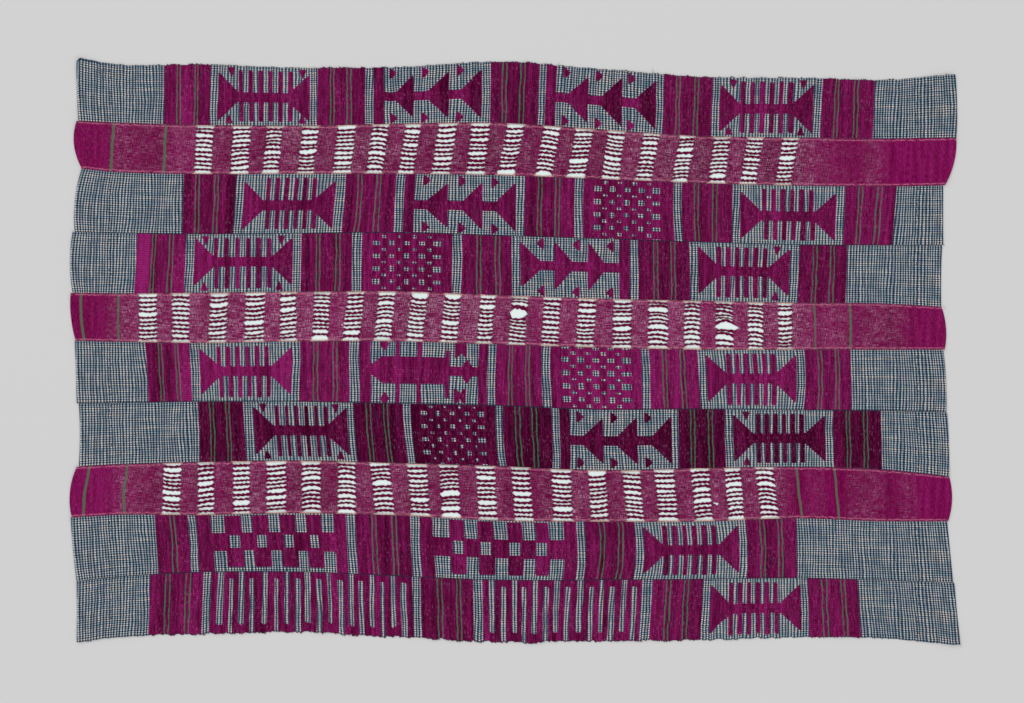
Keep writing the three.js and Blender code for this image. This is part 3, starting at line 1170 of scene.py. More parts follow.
@dataclass
class CheckStrip(Strip):
    """A check strip: its woven-in figures, how its wefts lean, and patches of another dye lot."""

    motifs: tuple[Motif, ...] = ()
    lean: tuple[tuple[float, float, float], ...] = ()
    lots: tuple[tuple[float, float, float], ...] = ()
    step_px: float = 1.35
    rows: int = 32

    def weft_place(self, x_px: Array, t: Array) -> Array:
        """Photo columns of the wefts: leaning and bowed as the table says, and along the ends there.

        Args:
            x_px: photo columns along the strip's axis.
            t: share of the strip's width from its top edge.
        Returns:
            The columns, shaped (along, across).
        """
        first, last = self.left[1], self.right[1]
        knots = np.array([first, *(row[0] for row in self.lean), last])
        away = ease(x_px, first + 4, first + 40) * ease(x_px, last - 4, last - 40)
        slow = away * wander(x_px, 36.0, 610 + self.index)
        out = np.empty((len(x_px), len(t)))
        for k, share in enumerate(t):
            bulge = 1 - (2 * share - 1) ** 2
            shift = [end_curve(self.left, share) - first]
            shift += [lean * (share - 0.5) + bow * bulge for _, lean, bow in self.lean]
            shift += [end_curve(self.right, share) - last]
            sway = 0.75 * wander(share * 3.6 + x_px / 170, 1.0, 600 + self.index)
            out[:, k] = x_px + smooth_curve(knots, np.array(shift, float), x_px) + sway * slow
        return out

    def panel_place(self, x_px: Array) -> Array:
        """A number that rises along the strip, a hundred a panel, with the green lines at fixed places.

        Args:
            x_px: photo columns.
        Returns:
            The numbers.
        """
        places, values = [self.left[1] - 20], [-60.0]
        panels = [m for m in self.motifs if isinstance(m, Panel)]
        for k, panel in enumerate(panels):
            a, b, c, d = panel.green
            places += [panel.x0, a - 3, a, b, b + 3, c - 3, c, d, d + 3, max(panel.x1, d + 4)]
            values += [100.0 * k + v for v in (8, 17, 20, 23.5, 26.5, 37, 40, 43.5, 46.5, 55)]
        return np.interp(x_px, places + [self.right[1] + 20], values + [values[-1] + 20])

    def dye_lots(self, x_px: Array) -> Array:
        """The magenta's tone along the strip, from 0 dark to 1 bright.

        Args:
            x_px: photo columns.
        Returns:
            The tone.
        """
        tone = self.tone + 0.09 * wander(x_px, 42.0, 90 + self.index)
        tone = tone + 0.07 * wander(x_px, 9.0, 91 + self.index)
        for x0, x1, value in self.lots:
            inside = ease(x_px, x0 - 0.7, x0 + 0.7) * ease(x_px, x1 + 0.7, x1 - 0.7)
            tone = tone * (1 - inside) + value * inside
        return tone

    def upright(self, x_px: Array) -> Array:
        """1 beside the ribs and inside the meander, where the light weft covers more of the warp.

        Args:
            x_px: photo columns.
        Returns:
            The shares.
        """
        share = np.zeros(x_px.shape)
        for figure in self.motifs:
            if isinstance(figure, (Fishbone, Meander)):
                starts = ease(x_px, figure.x0 - 1, figure.x0 + 3)
                share = share + starts * ease(x_px, figure.x1 + 1, figure.x1 - 3)
        return share

    def build(self, material: bpy.types.Material) -> bpy.types.Object:
        """Makes the strip's sheet and dresses it.

        Args:
            material: the finish.
        Returns:
            The piece.
        """
        length_px = self.right[1] - self.left[1]
        count = int(length_px / self.step_px)
        along = np.linspace(self.left[1], self.right[1], count)
        along = np.insert(along, [1, count - 1], [along[0] + 0.5, along[-1] - 0.5])
        across = np.concatenate([[0], np.linspace(0.008, 0.992, self.rows), [1]])
        x_px = self.weft_place(along, across)
        t = np.broadcast_to(across, x_px.shape)
        top, bottom = PLAN.row(self.index, x_px), PLAN.row(self.index + 1, x_px)
        y_px = top + (bottom - top) * t
        low, high = self.lay(x_px, y_px, t)
        h = float(np.mean(bottom - top))
        grid_x = np.broadcast_to(along[:, None], x_px.shape)
        depth = np.full(x_px.shape, OUTSIDE)
        for motif in self.motifs:
            near = (grid_x > motif.x0 - 4) & (grid_x < motif.x1 + 4)
            depth = np.maximum(depth, np.where(near, motif.depth(grid_x, t * h, h), OUTSIDE))
        high = high + 0.00022 * ease(depth, -0.6, 0.6)
        self.round_ends(low, high)
        x, y = to_metres(x_px, y_px)
        self.close_seams(y)
        edge = np.minimum(t, 1 - t) * h
        # The edge mark sets the line of painted shade along the long edges; on the first strip it is widened
        # at the rolled top-left corner, as painted shade of the roll.
        if self.index == 0:
            edge = edge - 1.3 * ease(x_px, 116, 86) * (t < 0.5)
        marks = {
            "inlay": np.clip(depth, -3, 3),
            "panel": np.broadcast_to(self.panel_place(along)[:, None], x_px.shape),
            "tone": np.broadcast_to(self.dye_lots(along)[:, None], x_px.shape),
            "upright": np.broadcast_to(self.upright(along)[:, None], x_px.shape),
            "edge": edge,
        }
        keep = np.ones((x_px.shape[0] - 1, x_px.shape[1] - 1), bool)
        weave = (grid_x - self.left[1]) * MM_PER_PX, t * h * MM_PER_PX
        sheet = Sheet(x, y, low, high, *weave, keep, marks)
        obj = self.dress(sheet.build(f"cloth_{self.node}"), material, "check_cloth")
        return obj


@dataclass(frozen=True)
class Column:
    """A column of gaps: its left side at the strip's two edges, its width and the only gap that it has."""

    top: float
    bottom: float
    wide: float
    only: int = -1


@dataclass
class OpenStrip(Strip):
    """A magenta strip with columns of gaps between thin yarn bars.

    The shares are of the strip's width: a bar, the edge beyond the gaps, and where the first gap starts
    before its ends are rounded. A torn row names column, gap and weight. A pull moves the yarns near a
    photo column and share of the width.
    """

    tops: tuple[float, ...] = ()
    bottoms: tuple[float, ...] = ()
    widths: tuple[float, ...] = ()
    tears: tuple[Column, ...] = ()
    stripes: tuple[tuple[float, float, float, float], ...] = ()
    torn: tuple[tuple[int, int, float], ...] = ()
    pulls: tuple[tuple[float, float, float, float], ...] = ()
    shade: float = 0.0
    worn: float = 0.9
    bar_share: float = 0.0445
    edge_share: float = 0.009
    first_share: float = 0.013
    gaps: int = 11
    steps: int = 16

    @property
    def kind(self) -> str:
        """The kind of strip, as the solid's name has it."""
        return "open"

    def columns(self) -> list[Column]:
        """The columns from left to right, with any small tear between them."""
        made = [Column(a - 0.7, b - 0.7, w + 1.4) for a, b, w in zip(self.tops, self.bottoms, self.widths)]
        return sorted(made + list(self.tears), key=lambda c: c.top)

    def stations(self) -> Array:
        """Grid columns: place at the top and bottom edge, number of the gap column or -1, share of it.

        Returns:
            One row for each grid column.
        """
        rows = []
        place = (self.left[0], self.left[2])
        end = Column(self.right[0], self.right[2], 0.0)
        for k, col in enumerate([*self.columns(), end]):
            count = max(3, int((col.top - place[0]) / 3.0))
            wide_top, wide_bottom = col.top - place[0], col.bottom - place[1]
            for f in np.arange(count) / count:
                rows.append((place[0] + wide_top * f, place[1] + wide_bottom * f, -1, 0.0))
            if col is end:
                break
            for f in np.arange(self.steps) / self.steps:
                s = 0.6 * f + 0.2 - 0.2 * np.cos(np.pi * f)
                rows.append((col.top + col.wide * s, col.bottom + col.wide * s, k, s))
            place = (col.top + col.wide, col.bottom + col.wide)
        rows.append((end.top, end.bottom, -1, 0.0))
        return np.array(rows)

    def gap_edges(self, c: int, col: Column, s: Array, rng: np.random.Generator) -> tuple[Array, Array]:
        """Upper and lower side of each gap of one column, as shares of the strip's width.

        Args:
            c: the column's number.
            col: the column.
            s: share of the column's width at each station, one row each.
            rng: source of the yarns' unevenness.
        Returns:
            The upper and the lower sides, shaped (stations, gaps).
        """
        g = self.gaps
        weight = rng.uniform(0.6, 1.2, g)
        weight[rng.integers(1, g - 1)] *= rng.uniform(1.3, 2.0)
        weight[rng.integers(1, g - 1)] *= rng.uniform(1.0, 1.5)
        for column, gap, factor in self.torn:
            if column == c:
                weight[gap] = factor
        weight[[0, -1]] *= 1.15
        thick = self.bar_share * rng.uniform(0.8, 1.2, g - 1)
        size = weight / weight.sum() * (1 - 2 * self.first_share - thick.sum())
        start = self.first_share + np.cumsum(size) - size + np.append(0, np.cumsum(thick))
        middle = start[1:] - thick / 2
        fit = np.clip(np.minimum(middle, 1 - middle) * 7, 0, 1)
        tilt, arch = rng.uniform(-0.02, 0.02), rng.uniform(-0.034, 0.022)
        bend = (tilt * (2 * s - 1) + arch * (1 - (2 * s - 1) ** 2)) * fit
        sway = rng.uniform(-0.007, 0.007, g - 1) * np.sin(2 * np.pi * s + rng.uniform(0, 6.28, g - 1))
        twist = 2 * np.pi * s * col.wide / rng.uniform(3.3, 4.8, g - 1) + rng.uniform(0, 6.28, g - 1)
        kink = rng.uniform(0.003, 0.0075, g - 1) * np.sin(twist)
        bar = middle + bend + sway + kink
        half = thick / 2 * (1 + 0.28 * np.sin(twist * 0.73 + rng.uniform(0, 6.28, g - 1)))
        one = np.ones_like(s)
        upper = np.concatenate([self.edge_share * one, bar + half], axis=1)
        lower = np.concatenate([bar - half, (1 - self.edge_share) * one], axis=1)
        lower = np.maximum(lower, upper + 0.006)
        first, last = rng.uniform(-0.02, 0.045, g), rng.uniform(0.955, 1.02, g)
        shape = rng.uniform(7.0, 20.0, g) / np.clip(size / size.mean(), 1, 2.6)
        body = np.clip(1 - np.abs(2 * (s - first) / (last - first) - 1) ** shape, 0.05, 1)
        if col.only >= 0:
            body = np.where(np.arange(g) == col.only, body, 0.05)
        centre = (upper + lower) / 2
        return centre - (centre - upper) * body, centre + (lower - centre) * body

    def grid_lines(self, column: Array, share: Array) -> tuple[Array, Array]:
        """Shares across the strip of every grid line, and how open each station is.

        Args:
            column: number of the gap column at each station, or -1 between them.
            share: share of that gap column's width.
        Returns:
            The shares, shaped (stations, lines), and the openness, 0 to 1.
        """
        rng = np.random.default_rng(400 + self.index)
        n, g = len(column), self.gaps
        above, below, opened = np.zeros((n, g)), np.zeros((n, g)), np.zeros(n)
        known = []
        for c, col in enumerate(self.columns()):
            at = np.nonzero(column == c)[0]
            s = np.append(share[at], 1.0)[:, None]
            at = np.append(at, at[-1] + 1)
            above[at], below[at] = self.gap_edges(c, col, s, rng)
            if col.only < 0:
                opened[at] = 1 - np.abs(2 * s[:, 0] - 1) ** 8
            known.append(at)
        known = np.concatenate(known)
        every = np.arange(n)
        for k in range(g):
            above[:, k] = np.interp(every, known, above[known, k])
            below[:, k] = np.interp(every, known, below[known, k])
        lines = np.zeros((n, 3 * g + 1))
        lines[:, 1::3] = above
        lines[:, 2::3] = below
        lines[:, 3:-1:3] = (below[:, :-1] + above[:, 1:]) / 2
        lines[:, -1] = 1.0
        return np.maximum.accumulate(lines, axis=1), opened

    def open_cells(self, column: Array, lines: int) -> Array:
        """Which cells of the grid are cloth and not a gap.

        Args:
            column: number of the gap column at each station, or -1 between them.
            lines: count of grid lines across the strip.
        Returns:
            True where there is cloth.
        """
        keep = np.ones((len(column) - 1, lines - 1), bool)
        cell = np.arange(lines - 1)
        for c, col in enumerate(self.columns()):
            at = np.nonzero(column == c)[0]
            which = cell[cell % 3 == 1] if col.only < 0 else [1 + 3 * col.only]
            keep[np.ix_(at, which)] = False
        return keep

    def work_ends(self) -> tuple[float, float]:
        """Where the columns of gaps begin and end along the top edge."""
        return self.tops[0], self.tops[-1] + self.widths[-1]

    def dye_lots(self, x_px: Array) -> Array:
        """The magenta's tone along the strip, darker by shade where the gaps are.

        Args:
            x_px: photo columns.
        Returns:
            The tone.
        """
        first, last = self.work_ends()
        dark = ease(x_px, first - 20, first + 20) * ease(x_px, last + 20, last - 20)
        return self.tone + 0.06 * wander(x_px, 37.0, 95 + self.index) - self.shade * dark

    def wear(self, x_px: Array) -> Array:
        """How thin and pale the cloth is worn, most of all between the columns.

        Args:
            x_px: photo columns.
        Returns:
            The wear, about 1 where the cloth is thin.
        """
        first, last = self.work_ends()
        patch = self.worn + 0.35 * wander(x_px, 19.0, 660 + self.index)
        patch = patch - 0.65 * ease(x_px, last, last + 28)
        return patch - 0.25 * ease(x_px, first + 6, first - 12)

    def stripe_place(self, x_px: Array, y_px: Array, t: Array) -> Array:
        """A number that rises along the strip and passes 50, 150, 250 and so on at the green stripes.

        Args:
            x_px: photo columns of the grid.
            y_px: photo rows of the grid.
            t: share of the strip's width from its top edge.
        Returns:
            The number, one to a pixel near a stripe.
        """
        reach = 3
        number = np.full(x_px.shape, 50.0 - reach)
        drift = 0.4 * wander(y_px, 13.0, 650 + self.index)
        lines = [a + (b - a) * t + 4 * bow * t * (1 - t) + drift for a, b, bow, _ in self.stripes]
        for k, (line, (*_, slim)) in enumerate(zip(lines, self.stripes)):
            number = number + np.clip((x_px - line) * slim, -reach, reach) + reach
            if k + 1 < len(lines):
                between = (x_px - line - reach) / (lines[k + 1] - line - 2 * reach)
                number = number + (100 - 2 * reach) * np.clip(between, 0, 1)
        return number

    def build(self, material: bpy.types.Material) -> bpy.types.Object:
        """Makes the strip's sheet with its gaps and dresses it.

        Args:
            material: the finish.
        Returns:
            The piece.
        """
        top_px, bottom_px, column, share = self.stations().T
        t, opened = self.grid_lines(column, share)
        m = t.shape[1]
        x_px = top_px[:, None] + (bottom_px - top_px)[:, None] * t
        bent = 12
        for k in range(bent):
            for side, end in ((k, self.left), (-1 - k, self.right)):
                straight = end[0] + (end[2] - end[0]) * t[side]
                x_px[side] += (end_curve(end, t[side]) - straight) * (1 - k / bent)
        grid_x = x_px.copy()
        lift_px = np.zeros_like(x_px)
        for x0, t0, dx, dy in self.pulls:
            near = np.exp(-((grid_x - x0) / 7) ** 2 - ((t - t0) / 0.085) ** 2)
            x_px = x_px + dx * near
            lift_px = lift_px + dy * near
        top, bottom = PLAN.row(self.index, x_px), PLAN.row(self.index + 1, x_px)
        h = float(np.mean(bottom - top))
        y_px = top + (bottom - top) * t + lift_px
        low, high = self.lay(x_px, y_px, t)
        line = np.arange(m)
        mid_bar = (line % 3 == 0) & (line > 0) & (line < m - 1)
        rim = ~mid_bar & (line > 0) & (line < m - 1)
        o = opened[:, None]
        high = high + o * (0.0002 * mid_bar - 0.0004 * rim)
        low = low + o * (0.0001 * mid_bar + 0.00032 * rim)
        self.round_ends(low, high)
        x, y = to_metres(x_px, y_px)
        self.close_seams(y)
        inside = ease(x_px, self.hems[0] - 4, self.hems[0] + 12)
        inside = inside * ease(x_px, self.hems[1] + 4, self.hems[1] - 14)
        outer = (line <= 1) | (line >= m - 2)
        marks = {
            "tone": self.dye_lots(x_px) + 0.05 * (1 - inside),
            "sheer": (0.1 + 0.9 * inside) * self.wear(x_px),
            "stripe": self.stripe_place(x_px, y_px, t),
            "bar": np.broadcast_to(o, t.shape) * (~outer),
            "edge": np.minimum(t, 1 - t) * h,
            "peach": np.broadcast_to(ease(o, 0.2, 0.8), t.shape) * outer,
        }
        weave = (grid_x - self.left[1]) * MM_PER_PX, t * h * MM_PER_PX
        sheet = Sheet(x, y, low, high, *weave, self.open_cells(column, m), marks)
        obj = self.dress(sheet.build(f"cloth_{self.node}"), material, "open_cloth")
        return obj


class SeamThread(Enum):
    """Which thread sews a seam: pink along the openwork, dark blue between check strips."""

    PINK = "pink"
    BLUE = "blue"


@dataclass
class Seam:
    """One whip-stitched seam between two strips."""

    line: int
    thread: SeamThread
    pitch_px: float = 3.1
    radius: float = 0.0003

    def build(self, material: bpy.types.Material, slot: str) -> bpy.types.Object:
        """Makes the seam's stitches as one piece that lies over both edges.

        Args:
            material: the finish.
            slot: not used.
        Returns:
            The piece.
        """
        rng = np.random.default_rng(30 + self.line)
        at = np.arange(82.0, 944.0, self.pitch_px)
        at = at + rng.uniform(-0.5, 0.5, len(at))
        reach = 1.2 if self.thread is SeamThread.PINK else 1.0
        f = np.linspace(-1, 1, 5)
        x_px = at[:, None] + rng.uniform(0.3, 1.2, (len(at), 1)) * f[None]
        y_px = PLAN.row(self.line, x_px) + reach * f[None] * rng.uniform(0.8, 1.25, (len(at), 1))
        lift = PLAN.pucker(self.line, x_px)
        arch = np.array([-0.0004, 0.0001, 0.0003, 0.0001, -0.0004])
        doubled = np.maximum(ease(x_px, 111.6, 109.4), ease(x_px, 915.4, 917.6))
        curl = 0.0025 * (ease(x_px, 110, 76) ** 2 + ease(x_px, 917, 948) ** 2)
        z = lift + PLY + (HEM - PLY) * doubled + curl * 0.4 + arch
        x, y = to_metres(x_px, y_px)
        path = np.stack([x, y, z], -1)
        obj = yarns(f"stitches_seam_{self.line}", path, np.full(x.shape, self.radius))
        return dress_threads(obj, material)


@dataclass
class FloatingThreads:
    """Seam thread that runs bare over the outermost gap of each openwork column."""

    strips: Sequence[OpenStrip]
    radius: float = 0.00034
    overhang: float = 1.5

    def build(self, material: bpy.types.Material) -> bpy.types.Object:
        """Makes one or two long strands over each end of each column, as one piece.

        Args:
            material: the finish.
        Returns:
            The piece.
        """
        rng = np.random.default_rng(77)
        rows = []
        s = np.linspace(0, 1, 9)
        for strip in self.strips:
            for top, bottom, wide in zip(strip.tops, strip.bottoms, strip.widths):
                for edge, start in ((0, top), (1, bottom)):
                    line = strip.index + edge
                    inward = 1 if edge == 0 else -1
                    for k in range(1 + rng.integers(0, 2)):
                        x_px = start - self.overhang + (wide + 2 * self.overhang) * s
                        sag = rng.uniform(0.0, 0.6) * (1 - (2 * s - 1) ** 2)
                        y_px = PLAN.row(line, x_px) + inward * (0.1 + 0.5 * k + sag)
                        y_px = y_px + 0.3 * wander(x_px, 3.0, line * 9 + k)
                        x, y = to_metres(x_px, y_px)
                        z = PLAN.pucker(line, x_px) + PLY + 0.0002 + 0.0002 * k
                        rows.append(np.stack([x, y, z], -1))
        paths = np.stack(rows)
        obj = yarns("strands_over_gaps", paths, np.full(paths.shape[:2], self.radius))
        return dress_threads(obj, material)


@dataclass
class HemStitches:
    """Running stitches along the inner side of the folded hems; pitch and reach are shares of the width."""

    strips: Sequence[Strip]
    radius: float = 0.0006
    pitch: float = 0.062
    reach: float = 0.034

    def build(self, name: str, material: bpy.types.Material, slot: str) -> bpy.types.Object:
        """Makes the stitches of these strips.

        Args:
            name: the piece's name.
            material: its finish.
            slot: not used.
        Returns:
            The new object.
        """
        rng = np.random.default_rng(len(self.strips))
        f = np.linspace(0, 1, 5)
        arch = np.array([-0.0003, 0.0001, 0.0002, 0.0001, -0.0003])
        rows = []
        for strip in self.strips:
            for hem in strip.hems:
                for share in np.arange(0.04, 0.96, self.pitch):
                    t = share + self.reach * f
                    x_px = hem + 0.8 * np.sin(share * 40) + rng.uniform(-0.4, 0.4) + 0.5 * f
                    top, bottom = PLAN.row(strip.index, x_px), PLAN.row(strip.index + 1, x_px)
                    y_px = top + (bottom - top) * t
                    z = strip.lay(x_px, y_px, t)[1] + arch
                    x, y = to_metres(x_px, y_px)
                    rows.append(np.stack([x, y, z], -1))
        paths = np.stack(rows)
        obj = yarns(name, paths, np.full(paths.shape[:2], self.radius))
        return dress_threads(obj, material)


@dataclass
class Fray:
    """Short worn ends along the two free edges, and the two longer loose threads at the top."""

    loop: float = 0.0006
    taper: tuple[float, float] = (0.00045, 0.0002)
    loop_below: float = 1.1

    def build(self, name: str, material: bpy.types.Material, spans: Sequence[tuple[int, float, float, int]],
              slot: str, long: Sequence[tuple[float, float]] = ()) -> bpy.types.Object:
        """Makes one colour's worn ends as one piece.

        Args:
            name: the piece's name.
            material: its finish.
            spans: line, first column, last column and count of each run of ends.
            slot: not used.
            long: column and length of each longer thread at the top edge, in px.
        Returns:
            The new object.
        """
        rng = np.random.default_rng(len(name))
        f = np.linspace(0, 1, 5)
        rows, sizes = [], []
        ends = [(line, x, rng.uniform(0.5, 1.5), rng.uniform(-0.8, 0.8))
                for line, a, b, count in spans for x in rng.uniform(a, b, count)]
        ends += [(0, x, length, 0.35) for x, length in long]
        for line, x, length, slant in ends:
            outward = -1 if line == 0 else 1
            loop = length < self.loop_below
            x_px = x + (2.4 * slant * f if loop else slant * f + 0.2 * np.sin(5 * f + x))
            out = 1.3 * length * np.sin(np.pi * f) - 0.5 if loop else length * f - 0.8
            y_px = PLAN.row(line, np.full(5, x)) + outward * out
            px, py = to_metres(x_px, y_px)
            z = PLAN.pucker(line, x_px) + 0.0007 + 0.0001 * np.sin(7 * f + x)
            rows.append(np.stack([px, py, z], -1))
            sizes.append(np.full(5, self.loop) if loop else np.linspace(*self.taper, 5))
        return dress_threads(yarns(name, np.stack(rows), np.stack(sizes)), material)


# Worn yarn ends by seam line, left and right photo column, and how many. Line 10 is the lower free edge.
MAGENTA_FRAY = ((10, 152, 410, 200), (10, 426, 700, 210), (10, 812, 858, 34), (0, 166, 208, 34),
                (0, 320, 364, 30), (0, 492, 536, 34), (0, 666, 710, 34), (0, 824, 872, 20))
BLUE_FRAY = ((10, 84, 948, 70), (0, 84, 950, 90))
# Loose threads at the upper edge by photo column and length in px.
LONG_ENDS = ((558.5, 3.8), (652.5, 5.6))


def panels(*rows: tuple[float, float, float, float, float, float]) -> tuple[Panel, ...]:
    """Panels from rows of left edge, right edge and the four green lines."""
    return tuple(Panel(x0, x1, (a, b, c, d)) for x0, x1, a, b, c, d in rows)


